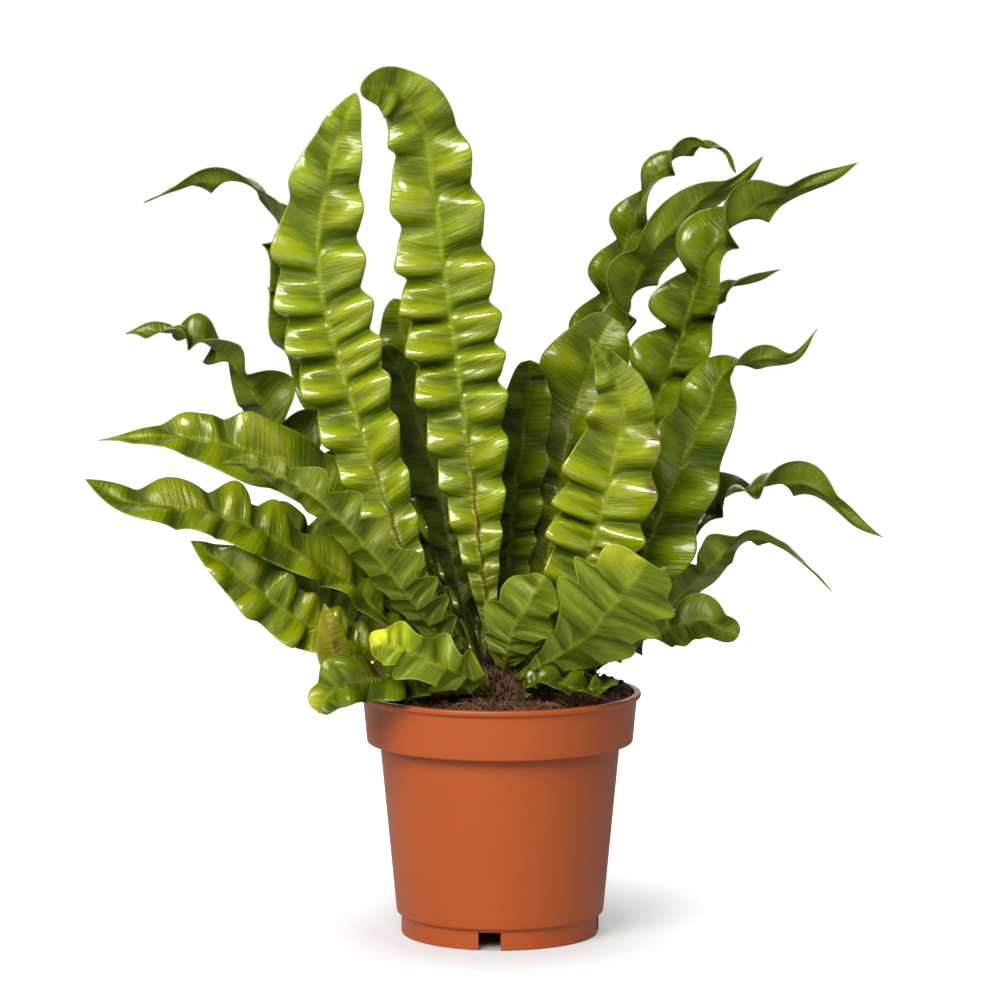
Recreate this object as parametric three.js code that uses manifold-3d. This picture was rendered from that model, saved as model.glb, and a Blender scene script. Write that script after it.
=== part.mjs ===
// A crinkle-leaved nest fern growing in a 14 cm plastic nursery pot.
// Units are millimetres and +Z is up. The origin is on the surface that the pot stands on, under the
// middle of the whole plant. The fronds reach further back than forward, so the pot stands off the
// origin, at POT_PLACE, and every other place below is counted from the centre of the pot's foot.
//
// The pot is a thin moulded shell with a stepped collar and a notched foot. Potting mix fills it.
// A short scaly rootstock, the crown, stands in a plain hole in the mix, and every frond grows out of
// its own socket in that crown. A frond is one thin strap-shaped blade with a raised rib and waved edges.

import * as THREE from 'three';
import { mergeVertices } from 'three/addons/utils/BufferGeometryUtils.js';
import Module from 'manifold-3d';

const wasm = await Module();
wasm.setup();

// ---------------------------------------------------------------- driving dimensions

const POT_PLACE = { x: 4.5, y: -62 };  // centre of the pot, from the middle of the whole plant
const GAP = 0.35;                 // clearance between neighbouring pieces
const WELD = 1e-4;                // corners closer than this are one corner
const ROUND_SIDES = 40;           // facets round the pot

const POT = {
  height: 121,
  lipRadius: 70,                  // 14 cm across the rolled lip
  collarTopRadius: 68,
  collarBottomRadius: 66.2,
  collarBottom: 95.8,
  bodyTopRadius: 59.8,
  bodyBottomRadius: 51.5,
  bodyBottom: 10.6,
  footRadius: 49.2,
  footTop: 9.7,
  wall: 1.3,
  floorBottom: 10,
  floorTop: 11.6,
};
const FOOT_NOTCH = { count: 4, width: 11, height: 9, depth: 12, firstAngle: -96 };
const DRAIN_HOLE = { count: 8, radius: 4, depth: 8, ringRadius: 33, sides: 12 };

const SOIL = {
  rimLevel: 118.0,                // at the wall, a little below the pot's lip
  crownLevel: 119.6,              // at the foot of the crown
  heap: { x: 46, y: 22, height: 5.2, spread: 22 },
  lump: 0.7,
  rings: 5,                       // rings of facets across its top
};

const CROWN = {
  radius: 28,
  base: 112,                      // underside, down in the mix
  shoulder: 121,
  rise: 17,                       // height of the dome above its shoulder
};
const SOCKET_GAP = 0.45;          // a stalk has a little more room in its socket
const SOCKET_DEPTH = 7;           // how far a frond's stalk goes into the dome
const SOCKET_REACH = 12;          // how far along the stalk its socket is cut, at least
const ROOT_RING = { inner: 8, middle: 15, outer: 22.5 };

const DOME_STEPS = [0.93, 0.8, 0.62, 0.42, 0.2, 0];  // shares of the radius where the dome has a ring
const DOME_SIDES = 20;

const BLADE = {
  thickness: 0.8,
  stalkHalfWidth: 2.6,
  ribHalfThickness: [[0, 1.4], [0.1, 1.25], [0.5, 0.8], [1, 0.45]],
  stationsPerWave: 3,
  stalkEnd: 0.05,                 // share of the length where the stalk starts to widen
  waveStart: 0.07,                // share of the length where the ruffles start
  waveEnd: 0.965,
  tipHalfWidth: 0.6,
};

const RUFFLE = {
  bunching: 0.65,                 // below 1, ruffles sit closer together towards the root
  rootFade: 0.12,                 // shares of the length over which the ruffles grow in, and die out
  tipFade: 0.1,
  slowDrift: { size: 0.9, turns: 1.7 },   // two swings that make the ruffles uneven, in radians
  quickDrift: { size: 0.6, turns: 3.3, seedShare: 2.1 },
  heightSwing: { size: 0.3, turns: 2.6, seedShare: 1.3 },
  steepness: 0.6,                 // how far a hook shifts the crest towards its steep flank
  widthShare: 0.7,                // a narrower stretch of blade has lower ruffles, to this power
  tipShare: 0.6,                  // and they die out towards the tip to this power
  roundness: 0.7,                 // below 1, crests are broad pillows with narrow valleys between them
};
const SEED_STEP = 0.7;            // each frond's ruffles start this much later than the last one's

const COLOUR = {
  pot: 0xb5552a,
  soil: 0x2e2019,
  crown: 0x5a3a24,
  upperFrond: 0x7fa01e,
  darkFrond: 0x4f7320,
  paleFrond: 0x8fa64a,
  yellowFrond: 0xa5a648,
};

// ---------------------------------------------------------------- the fronds
//
// A frond leaves the crown at a ring and an azimuth in degrees, 0 being +X and 90 being +Y.
// Its path lists the points of the rib after that: x, y, z and the turn of the blade in degrees.
// At turn 0 the upper face looks along -Y, at 180 the underside does. half is the greatest half
// width, waves the number of ruffles along the blade, and wave their height at the edge.

const FROND_DEFAULTS = {
  turn: 0,
  phase: [0.8, 2.2],              // where the ruffles of the left and right edge start, radians
  belly: 0.55,                    // share of the length at which the blade is widest
  tip: 0.9,                       // how slim the tip is: small is blunt
  cup: 0.12,                      // how far the two halves fold up from the rib
  skew: 1,                        // how far a ruffle leans to the tip at the edge, radians
  hook: 1,                        // how steep one flank of a ruffle is
  curl: 0.15,                     // how far a ruffle's flanks lean out over the valleys
  lobe: 0.12,                     // share of the half width by which the edge swings out on a crest
  widening: 1.15,                 // how slowly the stalk widens to the belly
  colour: 'upperFrond',
};

const FRONDS = [
  { name: 'frond_tall_left', ring: 'inner', azimuth: 165, turn: 60, half: 22.5, waves: 16, wave: 5,
    phase: [0, 2.6], belly: 0.66, tip: 0.7, cup: 0.04, hook: 0.8, skew: 1.3, widening: 1.3,
    path: [[-39, -2, 171, 10], [-55, 2, 210, 5], [-73, 6, 263, 0], [-89, 4, 327, 0],
      [-83, -4, 379, 0], [-70, -12, 416, 0]] },
  { name: 'frond_tall_middle', ring: 'inner', azimuth: 105, turn: 10, half: 23, waves: 16, wave: 5.5,
    phase: [0.5, 3.3], belly: 0.55, tip: 0.48, cup: 0.04, skew: 0.6,
    path: [[-8, 6, 175, 0], [-15, 6, 238, 0], [-24, 4, 305, 0], [-30, -1, 353, 0], [-33, -4, 374, 0],
      [-35, -7, 389, 0], [-39, -11, 403, 0], [-46, -18, 413, -5], [-55, -28, 418.5, -10],
      [-67, -40, 418, -15]] },
  { name: 'frond_broad_right', ring: 'inner', azimuth: 45, turn: -40, half: 23, waves: 11, wave: 4.5,
    phase: [1.2, 4], belly: 0.53, tip: 1.05, hook: 0.8, skew: 1.2,
    path: [[33, -10, 161, -5], [47, -18, 201, -5], [56, -22, 237, -5], [60, -26, 264, -5],
      [53, -32, 283, 0], [43, -40, 298, 20]] },
  { name: 'frond_short_front', ring: 'inner', azimuth: 285, turn: 175, half: 16, waves: 6, wave: 2.8,
    phase: [0, 1.5], belly: 0.6, tip: 0.5, hook: 0.3, lobe: 0.18, widening: 1.4, colour: 'paleFrond',
    path: [[3, -21, 140, 175], [7, -29, 156, 175], [14, -33, 169, 178], [22, -32, 182, 180]] },
  { name: 'frond_arched_right', ring: 'inner', azimuth: 345, turn: -70, half: 23, waves: 9, wave: 4,
    belly: 0.42, tip: 1.4, hook: 0.5, skew: 1.5, widening: 1.7, colour: 'darkFrond',
    path: [[49, -4, 149, -15], [69, 0, 184, -15], [80, 2, 211, -15], [93, 2, 240, -15],
      [103, 2, 263, -20], [111, 0, 280, -60], [128, -4, 286, -140], [145, -4, 287, -150],
      [156, -4, 301, -150]] },
  { name: 'frond_pale_left', ring: 'inner', azimuth: 235, turn: 130, half: 13, waves: 14, wave: 4,
    phase: [0.8, 3], belly: 0.42, tip: 0.8, cup: 0.3, hook: 0.3, lobe: 0.25, colour: 'paleFrond',
    path: [[-23, -24, 143, 150], [-38, -38, 164, 155], [-52, -46, 183, 155], [-70, -50, 204, 155],
      [-88, -50, 221, 155], [-106, -41, 231, 160], [-122, -28, 236, 165], [-136, -18, 236, 165]] },

  { name: 'frond_wide_front', ring: 'middle', azimuth: -72, turn: 185, half: 25, waves: 8, wave: 3.6,
    phase: [0.8, 3], belly: 0.74, tip: 0.25, hook: 0.3, skew: 1.1, lobe: 0.18, widening: 1.9,
    colour: 'paleFrond',
    path: [[20, -28, 137, 185], [34, -40, 147, 183], [43, -52, 155, 183], [50, -62, 166, 183],
      [59, -70, 178, 183], [70, -76, 194, 183]] },
  { name: 'frond_low_right', ring: 'middle', azimuth: -43, turn: -80, half: 13, waves: 9, wave: 5,
    belly: 0.45, tip: 0.35, hook: 0.4, lobe: 0.2, colour: 'darkFrond',
    path: [[20, -17, 129, -60], [37, -19, 133, -70], [52, -23, 139, -80], [68, -28, 149, -120],
      [85, -31, 157, -165], [101, -32, 160, -168], [116, -33, 152, -160]] },
  { name: 'frond_long_right', ring: 'middle', azimuth: -12, turn: -80, half: 15, waves: 9, wave: 6,
    phase: [0.8, 3.9], belly: 0.45, tip: 1.1, hook: 0.3, lobe: 0.2, widening: 1.5, colour: 'darkFrond',
    path: [[53, 14, 147, -60], [77, 26, 179, -60], [97, 28, 202, -60], [115, 22, 217, -70],
      [130, 16, 221, -90], [145, 10, 224, -125], [160, 6, 219, -145], [176, 2, 205, -150],
      [190, 0, 197, -150]] },
  { name: 'frond_curly_right_1', ring: 'middle', azimuth: 20, turn: -60, half: 16, waves: 11, wave: 10,
    phase: [0.8, 3.9], belly: 0.55, tip: 0.95, hook: 0.2, curl: 0.3, lobe: 0.28, colour: 'darkFrond',
    path: [[50, 16, 175, -20], [70, 23, 239, -20], [82, 24, 272, -20], [91, 24, 296, -20],
      [98, 20, 321, -20], [108, 16, 344, -60], [124, 12, 360, -125], [145, 10, 368, -150],
      [165, 8, 376, -150], [176, 6, 382, -150]] },
  { name: 'frond_broad_behind', ring: 'middle', azimuth: 52, turn: -30, half: 29, waves: 7, wave: 5.5,
    phase: [0.8, 3.4], belly: 0.55, tip: 0.42, cup: 0.1, hook: 0.5, colour: 'upperFrond',
    path: [[20, 28, 160, -15], [27, 40, 202, -10], [36, 46, 247, -5], [46, 48, 280, -5],
      [53, 48, 296, -5], [58, 49, 304, -10]] },
  { name: 'frond_narrow_middle', ring: 'middle', azimuth: 86, half: 14, waves: 9, wave: 3,
    belly: 0.6, tip: 0.3, cup: 0.5, colour: 'darkFrond',
    path: [[3, 22, 164, 0], [7, 30, 213, 0], [12, 30, 248, 0], [14, 28, 266, 0], [15, 22, 284, 0]] },
  { name: 'frond_dark_behind', ring: 'middle', azimuth: 118, turn: 40, half: 14, waves: 8, wave: 4,
    belly: 0.6, tip: 0.6, colour: 'darkFrond',
    path: [[-19, 18, 164, 120], [-32, 28, 223, 160], [-44, 34, 261, 170], [-53, 32, 282, 180],
      [-58, 26, 291, 190]] },
  { name: 'frond_twisted_left', ring: 'middle', azimuth: 154, turn: 75, half: 14, waves: 13, wave: 9,
    phase: [0.8, 3.9], belly: 0.6, tip: 0.8, hook: 0.3, curl: 0.3, lobe: 0.3, colour: 'darkFrond',
    path: [[-35, 26, 153, 100], [-58, 42, 189, 130], [-78, 42, 211, 150], [-97, 34, 229, 160],
      [-112, 24, 252, 160], [-125, 18, 272, 150], [-137, 12, 286, 110], [-151, 8, 296, 75],
      [-170, 4, 299, 60], [-185, 4, 298, 60]] },
  { name: 'frond_long_left_1', ring: 'middle', azimuth: 180, turn: 85, half: 18, waves: 8, wave: 3,
    belly: 0.64, tip: 1.5,
    path: [[-34, 10, 146, 70], [-53, 21, 184, 50], [-78, 22, 213, 40], [-98, 14, 229, 30],
      [-118, 4, 238, 30], [-141, -2, 245, 30], [-165, -4, 248, 40], [-198, -6, 246, 50]] },
  { name: 'frond_inner_left_1', ring: 'middle', azimuth: 205, turn: 85, half: 14, waves: 8, wave: 4,
    belly: 0.6, tip: 0.9, colour: 'darkFrond',
    path: [[-35, -2, 142, 60], [-60, -1, 174, 55], [-85, -4, 191, 50], [-114, 2, 206, 50],
      [-139, 2, 214, 50]] },
  { name: 'frond_long_left_2', ring: 'middle', azimuth: 228, turn: 90, half: 16.5, waves: 10, wave: 3.6,
    phase: [0.8, 3.6], belly: 0.66, tip: 0.85, cup: 0.1, hook: 0.4, lobe: 0.15,
    path: [[-34, -16, 138, 80], [-55, -23, 158, 70], [-76, -26, 180, 55], [-97, -34, 193, 50],
      [-118, -45, 206, 48], [-144, -50, 216, 45], [-177, -54, 220, 45], [-199, -54, 231, 50]] },

  { name: 'frond_drooping_right', ring: 'outer', azimuth: -18, turn: -80, half: 13, waves: 8, wave: 3,
    belly: 0.45, tip: 1.0, lobe: 0.2, widening: 1.8, colour: 'paleFrond',
    path: [[61, 9, 139, -90], [82, 11, 160, -120], [102, 6, 180, -140], [121, 2, 197, -120],
      [138, -2, 193, -100], [152, -6, 183, -95], [164, -8, 171, -90]] },
  { name: 'frond_curly_right_2', ring: 'outer', azimuth: 22, turn: -60, half: 14, waves: 10, wave: 8,
    phase: [0.8, 3.9], belly: 0.55, tip: 1.1, hook: 0.2, curl: 0.3, lobe: 0.25, widening: 1.6,
    colour: 'darkFrond',
    path: [[59, 44, 166, -40], [80, 60, 226, -50], [95, 66, 271, -60], [101, 64, 299, -60],
      [112, 60, 316, -85], [127, 56, 322, -120], [142, 54, 328, -130]] },
  { name: 'frond_curly_right_3', ring: 'outer', azimuth: 42, turn: -45, half: 14, waves: 11, wave: 6.5,
    phase: [0.8, 3.9], belly: 0.6, tip: 0.9, hook: 0.2, curl: 0.3, lobe: 0.2, colour: 'darkFrond',
    path: [[33, 44, 166, -30], [54, 70, 230, -30], [63, 76, 286, -60], [67, 70, 316, -120],
      [76, 60, 334, -165], [88, 50, 350, -175], [104, 40, 365, -170], [120, 32, 373, -160],
      [131, 28, 385, -150]] },
  { name: 'frond_curly_right_4', ring: 'outer', azimuth: 62, turn: -30, half: 12, waves: 17, wave: 7,
    phase: [0.8, 3.9], belly: 0.5, tip: 0.7, hook: 0.2, curl: 0.3, lobe: 0.3, colour: 'darkFrond',
    path: [[24, 58, 159, -20], [41, 100, 233, -20], [52, 116, 289, -20], [60, 114, 320, -20],
      [70, 106, 352, -30], [82, 96, 376, -60], [98, 88, 389, -100], [113, 84, 388, -110],
      [121, 84, 376, -110]] },
  { name: 'frond_back_low', ring: 'outer', azimuth: 78, half: 20, waves: 8, wave: 5, belly: 0.6,
    path: [[4, 60, 154, -10], [7, 110, 178, -10], [12, 160, 190, -10], [16, 200, 175, -10]] },
  { name: 'frond_back_middle', ring: 'outer', azimuth: 95, half: 20, waves: 8, wave: 5, belly: 0.6,
    path: [[-5, 50, 165, 10], [-13, 86, 218, 10], [-20, 116, 251, 10], [-26, 146, 254, 10]] },
  { name: 'frond_bright_behind', ring: 'outer', azimuth: 112, turn: 10, half: 22, waves: 9, wave: 4,
    belly: 0.65, tip: 0.6,
    path: [[-14, 36, 162, 0], [-27, 56, 221, 0], [-43, 62, 271, 0], [-54, 62, 313, 0]] },
  { name: 'frond_back_left', ring: 'outer', azimuth: 129, turn: 20, half: 20, waves: 8, wave: 5,
    belly: 0.6,
    path: [[-31, 58, 163, 20], [-54, 102, 204, 20], [-74, 134, 230, 20], [-90, 164, 226, 20]] },
  { name: 'frond_curly_left', ring: 'outer', azimuth: 146, turn: 50, half: 13, waves: 13, wave: 7,
    phase: [0.8, 3.9], belly: 0.62, tip: 0.9, hook: 0.3, curl: 0.3, lobe: 0.25, colour: 'darkFrond',
    path: [[-26, 36, 159, 50], [-57, 68, 215, 20], [-88, 72, 263, 10], [-103, 66, 297, 10],
      [-108, 52, 332, 30], [-111, 42, 352, 70], [-117, 34, 364, 100], [-127, 28, 372, 115],
      [-144, 23, 373, 115], [-162, 20, 368, 110], [-177, 20, 362, 105]] },
  { name: 'frond_inner_left_2', ring: 'outer', azimuth: 164, turn: 85, half: 14, waves: 7, wave: 4,
    belly: 0.6, tip: 0.7, colour: 'darkFrond',
    path: [[-35, 16, 139, 70], [-75, 30, 162, 60], [-105, 28, 180, 60], [-132, 22, 193, 60]] },
  { name: 'frond_small_left', ring: 'outer', azimuth: 183, turn: 85, half: 11, waves: 6, wave: 3.5,
    belly: 0.65, tip: 0.6, colour: 'paleFrond',
    path: [[-36, 2, 135, 80], [-63, -2, 150, 120], [-89, -12, 167, 160], [-106, -26, 181, 180],
      [-119, -30, 186, 180]] },
  { name: 'frond_low_left', ring: 'outer', azimuth: 201, turn: 90, half: 14.5, waves: 10, wave: 4,
    phase: [0.8, 3], belly: 0.68, hook: 0.6,
    path: [[-39, -14, 134, 70], [-61, -20, 143, 60], [-79, -26, 151, 40], [-95, -32, 158, 25],
      [-111, -40, 171, 20], [-129, -46, 186, 20], [-149, -50, 201, 20]] },
  { name: 'frond_yellow_left', ring: 'outer', azimuth: 219, turn: 100, half: 10, waves: 3, wave: 2,
    belly: 0.7, tip: 1, colour: 'yellowFrond',
    path: [[-37, -28, 127, 80], [-56, -36, 128, 80], [-72, -42, 131, 60], [-80, -44, 145, 20],
      [-85, -44, 170, 10]] },
  { name: 'frond_over_rim', ring: 'outer', azimuth: 238, turn: 110, half: 14, waves: 6, wave: 5,
    belly: 0.62, tip: 0.4, hook: 0.5, lobe: 0.2, widening: 1.4, colour: 'darkFrond',
    path: [[-28, -33, 129, 50], [-43, -42, 133, 38], [-57, -50, 134, 40], [-72, -56, 133, 30],
      [-82, -60, 128, 20], [-87, -62, 119, 10]] },
  { name: 'frond_curled_front', ring: 'outer', azimuth: 260, turn: 130, half: 13, waves: 6, wave: 6,
    phase: [0.8, 3.4], belly: 0.62, tip: 0.35, hook: 0.5, lobe: 0.25, widening: 1.5, colour: 'paleFrond',
    path: [[-13, -42, 132, 170], [-26, -57, 140, 185], [-41, -65, 148, 190], [-54, -69, 153, 190],
      [-62, -71, 152, 185]] },
  { name: 'frond_frilled_root', ring: 'outer', azimuth: -62, turn: -40, half: 9, waves: 6, wave: 3,
    phase: [0.8, 3.4], belly: 0.6, tip: 0.4, hook: 0.3, lobe: 0.3, widening: 0.8, colour: 'darkFrond',
    path: [[18, -35, 130, -70], [31, -46, 130, -75], [45, -51, 129, -75], [57, -51, 132, -70]] },
];

// ---------------------------------------------------------------- shared helpers

const radians = THREE.MathUtils.degToRad;
const { clamp } = THREE.MathUtils;

/** Linear look-up in a list of [position, value] pairs. */
function lookUp(pairs, x) {
  const i = pairs.findIndex(([position]) => position >= x);
  if (i <= 0) return pairs[i < 0 ? pairs.length - 1 : 0][1];
  const [x0, y0] = pairs[i - 1];
  const [x1, y1] = pairs[i];
  return y0 + (y1 - y0) * (x - x0) / (x1 - x0);
}

function toSolid(geometry) {
  const bare = geometry.clone();
  bare.deleteAttribute('normal');
  bare.deleteAttribute('uv');
  const merged = mergeVertices(bare, WELD);
  const vertProperties = new Float32Array(merged.attributes.position.array);
  const triVerts = new Uint32Array(merged.index.array);
  return new wasm.Manifold(new wasm.Mesh({ numProp: 3, vertProperties, triVerts }));
}

function toGeometry(solid) {
  const { vertProperties, triVerts } = solid.getMesh();
  const geometry = new THREE.BufferGeometry();
  geometry.setAttribute('position', new THREE.BufferAttribute(new Float32Array(vertProperties), 3));
  geometry.setIndex(new THREE.BufferAttribute(new Uint32Array(triVerts), 1));
  return geometry;
}

/** A solid turned about the Z axis from a profile of [radius, height] pairs. */
function turned(profile, sides = ROUND_SIDES) {
  const points = profile.map(([radius, height]) => new THREE.Vector2(radius, height));
  return new THREE.LatheGeometry(points, sides).rotateX(Math.PI / 2);
}

/** Cuts everything in the list of cutters out of a body, and keeps the one main piece. */
function cut(body, cutters) {
  const left = cutters.reduce((solid, cutter) => solid.subtract(cutter), body);
  const pieces = left.decompose().sort((a, b) => b.volume() - a.volume());
  return pieces[0];
}

function pieceOf(name, geometry, colour, roughness) {
  geometry.computeVertexNormals();
  const material = new THREE.MeshStandardMaterial({ color: colour, roughness, metalness: 0 });
  const mesh = new THREE.Mesh(geometry, material);
  mesh.name = name;
  return mesh;
}

// ---------------------------------------------------------------- pot

function potProfile() {
  const { wall } = POT;
  return [
    [0, POT.floorBottom],
    [POT.footRadius - wall, POT.floorBottom],
    [POT.footRadius - wall, 0],
    [POT.footRadius, 0],
    [POT.footRadius, POT.footTop],
    [POT.bodyBottomRadius, POT.bodyBottom],
    [POT.bodyTopRadius, POT.collarBottom],
    [POT.collarBottomRadius - 1, POT.collarBottom],
    [POT.collarBottomRadius, POT.collarBottom + 1],
    [POT.collarTopRadius, POT.height - 3.2],
    [POT.lipRadius, POT.height - 2.2],
    [POT.lipRadius, POT.height - 0.6],
    [POT.lipRadius - 0.6, POT.height],
    [POT.collarTopRadius, POT.height],
    [POT.collarTopRadius - wall, POT.height - 1.4],
    [POT.collarBottomRadius - wall, POT.collarBottom + wall],
    [POT.bodyTopRadius - wall, POT.collarBottom + wall],
    [POT.bodyBottomRadius - wall, POT.floorTop],
    [0, POT.floorTop],
  ];
}

function makePot() {
  const cutters = [];
  for (let i = 0; i < FOOT_NOTCH.count; i += 1) {
    const angle = radians(FOOT_NOTCH.firstAngle + i * 360 / FOOT_NOTCH.count);
    const notch = new THREE.BoxGeometry(FOOT_NOTCH.depth, FOOT_NOTCH.width, 2 * FOOT_NOTCH.height);
    cutters.push(toSolid(notch.translate(POT.footRadius, 0, 0).rotateZ(angle)));
  }
  for (let i = 0; i < DRAIN_HOLE.count; i += 1) {
    const { radius, depth, ringRadius, sides } = DRAIN_HOLE;
    const hole = new THREE.CylinderGeometry(radius, radius, depth, sides).rotateX(Math.PI / 2);
    const angle = (i + 0.5) * 2 * Math.PI / DRAIN_HOLE.count;
    cutters.push(toSolid(hole.translate(ringRadius, 0, POT.floorTop - 1).rotateZ(angle)));
  }
  return toGeometry(cut(toSolid(turned(potProfile())), cutters));
}

// ---------------------------------------------------------------- potting mix

/** Height of the mix at a place, with its lumps and the heap by the back wall. */
function soilHeight(x, y) {
  const share = clamp((Math.hypot(x, y) - CROWN.radius) / (POT.collarTopRadius - CROWN.radius), 0, 1);
  const slope = SOIL.crownLevel + (SOIL.rimLevel - SOIL.crownLevel) * share;
  const { heap } = SOIL;
  const away = Math.hypot(x - heap.x, y - heap.y) / heap.spread;
  const lumps = Math.sin(0.31 * x + 1.1) * Math.cos(0.27 * y) + 0.6 * Math.sin(0.53 * y - 0.4 * x);
  return slope + heap.height * Math.exp(-away * away / 2) + SOIL.lump * lumps;
}

function makeSoil() {
  const inside = POT.wall + GAP;
  const topLevel = SOIL.rimLevel;
  const edge = POT.collarTopRadius - inside - 2 * GAP;
  const hole = CROWN.radius + 1.5 * GAP;
  const rings = [];
  for (let i = 0; i <= SOIL.rings; i += 1) rings.push([edge + (hole - edge) * i / SOIL.rings, topLevel]);
  const geometry = turned([
    [0, POT.floorTop + GAP],
    [POT.bodyBottomRadius - inside, POT.floorTop + GAP],
    [POT.bodyTopRadius - inside, POT.collarBottom + POT.wall + GAP],
    [POT.collarBottomRadius - inside, POT.collarBottom + POT.wall + GAP],
    [edge, topLevel - 2],
    ...rings,
    [hole, CROWN.base - GAP],
    [0, CROWN.base - GAP],
  ]);
  const position = geometry.attributes.position;
  for (let i = 0; i < position.count; i += 1) {
    if (position.getZ(i) < topLevel - 0.5) continue;
    position.setZ(i, soilHeight(position.getX(i), position.getY(i)));
  }
  return toGeometry(toSolid(geometry));
}

// ---------------------------------------------------------------- frond blade

function domeHeight(radius) {
  return CROWN.shoulder + CROWN.rise * (1 - (radius / CROWN.radius) ** 2);
}

/** The rib's curve and the blade's turn along it, from the socket to the tip. */
function ribOf(row) {
  const radius = ROOT_RING[row.ring];
  const angle = radians(row.azimuth);
  const level = domeHeight(radius) - SOCKET_DEPTH;
  const points = [[radius * Math.cos(angle), radius * Math.sin(angle), level, row.turn], ...row.path];
  const curve = new THREE.CatmullRomCurve3(
    points.map(([x, y, z]) => new THREE.Vector3(x, y, z)), false, 'catmullrom', 0.5);
  const turns = new THREE.CatmullRomCurve3(
    points.map(([, , , turn]) => new THREE.Vector3(turn, 0, 0)), false, 'catmullrom', 0.5);
  return { curve, turns };
}

/** Place and directions of the blade at a share of its length: along, up from the face, and across. */
function frameAt(rib, share) {
  const s = clamp(share, 0, 1);
  const place = rib.curve.getPointAt(s);
  const along = rib.curve.getTangentAt(s);
  const turn = radians(rib.turns.getPoint(rib.curve.getUtoTmapping(s)).x);
  const front = new THREE.Vector3(0, -1, 0).addScaledVector(along, along.y).normalize();
  const side = new THREE.Vector3().crossVectors(along, front);
  const face = front.multiplyScalar(Math.cos(turn)).addScaledVector(side, Math.sin(turn));
  const across = new THREE.Vector3().crossVectors(along, face);
  return { place, along, face, across };
}

/** Half width of the blade: a stalk that widens to the belly, then narrows to the tip. */
function halfWidthAt(row, s) {
  const stalk = BLADE.stalkHalfWidth / row.half;
  if (s < row.belly) {
    const share = clamp((s - BLADE.stalkEnd) / (row.belly - BLADE.stalkEnd), 0, 1);
    return row.half * (stalk + (1 - stalk) * Math.sin(share * Math.PI / 2) ** row.widening);
  }
  const past = (s - row.belly) / (1 - row.belly);
  return row.half * (1 - past * past) ** row.tip;
}

/** A slow swing along the blade, of its own size, number of turns and start. */
function swing({ size, turns, seedShare = 1 }, s, seed, start = 0) {
  return size * Math.sin(2 * Math.PI * turns * s + seedShare * seed + start);
}

/** Ruffle at a place on the blade: its share of full height and its height, and where in the wave it is. */
function ruffleAt(row, s, across) {
  const side = across >= 0 ? 1 : -1;
  const drift = swing(RUFFLE.slowDrift, s, row.seed) + swing(RUFFLE.quickDrift, s, row.seed, side);
  const angle = 2 * Math.PI * row.waves * s ** RUFFLE.bunching + row.phase[side > 0 ? 1 : 0]
    - row.skew * Math.abs(across) + drift;
  const fade = clamp(halfWidthAt(row, s) / row.half, 0, 1) ** RUFFLE.widthShare
    * clamp((s - BLADE.waveStart) / RUFFLE.rootFade, 0, 1)
    * clamp((1 - s) / RUFFLE.tipFade, 0, 1) ** RUFFLE.tipShare;
  const height = row.wave * fade * (1 + swing(RUFFLE.heightSwing, s, row.seed, side));
  const crest = Math.sin(angle - RUFFLE.steepness * side * row.hook * Math.sin(angle));
  const shape = 2 * ((1 + crest) / 2) ** RUFFLE.roundness - 1;
  return { fade, height, shape, crest, travel: -Math.cos(angle) };
}

/** A point of the blade's middle surface, across running from -1 at one edge to 1 at the other. */
function bladePoint(row, rib, s, across) {
  const frame = frameAt(rib, s);
  const width = halfWidthAt(row, clamp(s, 0, 1));
  const ruffle = ruffleAt(row, clamp(s, 0, 1), across);
  const out = Math.abs(across);
  const lift = out * (ruffle.height * ruffle.shape + row.cup * width);
  const reach = width * across * (1 + row.lobe * ruffle.crest * ruffle.fade);
  return frame.place
    .addScaledVector(frame.across, reach)
    .addScaledVector(frame.face, lift)
    .addScaledVector(frame.along, ruffle.height * row.curl * out * ruffle.travel);
}

/** The blade's own normal at an edge, which leans with the ruffles. */
function edgeNormal(row, rib, s, across) {
  const ds = 0.004;
  const along = bladePoint(row, rib, s + ds, across).sub(bladePoint(row, rib, s - ds, across));
  const inner = bladePoint(row, rib, s, across * 0.9);
  const outward = bladePoint(row, rib, s, across).sub(inner).multiplyScalar(across);
  const { face } = frameAt(rib, s);
  const normal = new THREE.Vector3().crossVectors(outward, along);
  if (normal.length() < 1e-6) return face;
  normal.normalize();
  return normal.dot(face) < -0.2 ? normal.negate() : normal;
}

/** Shares of the length at which the blade has a cross section. */
function stationsOf(row) {
  const count = Math.round(BLADE.stationsPerWave * row.waves);
  const stations = [0, BLADE.waveStart / 2, BLADE.waveStart];
  const first = BLADE.waveStart ** RUFFLE.bunching;
  const last = BLADE.waveEnd ** RUFFLE.bunching;
  for (let i = 1; i <= count; i += 1) {
    stations.push((first + (last - first) * i / count) ** (1 / RUFFLE.bunching));
  }
  return [...stations, 1];
}

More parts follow.
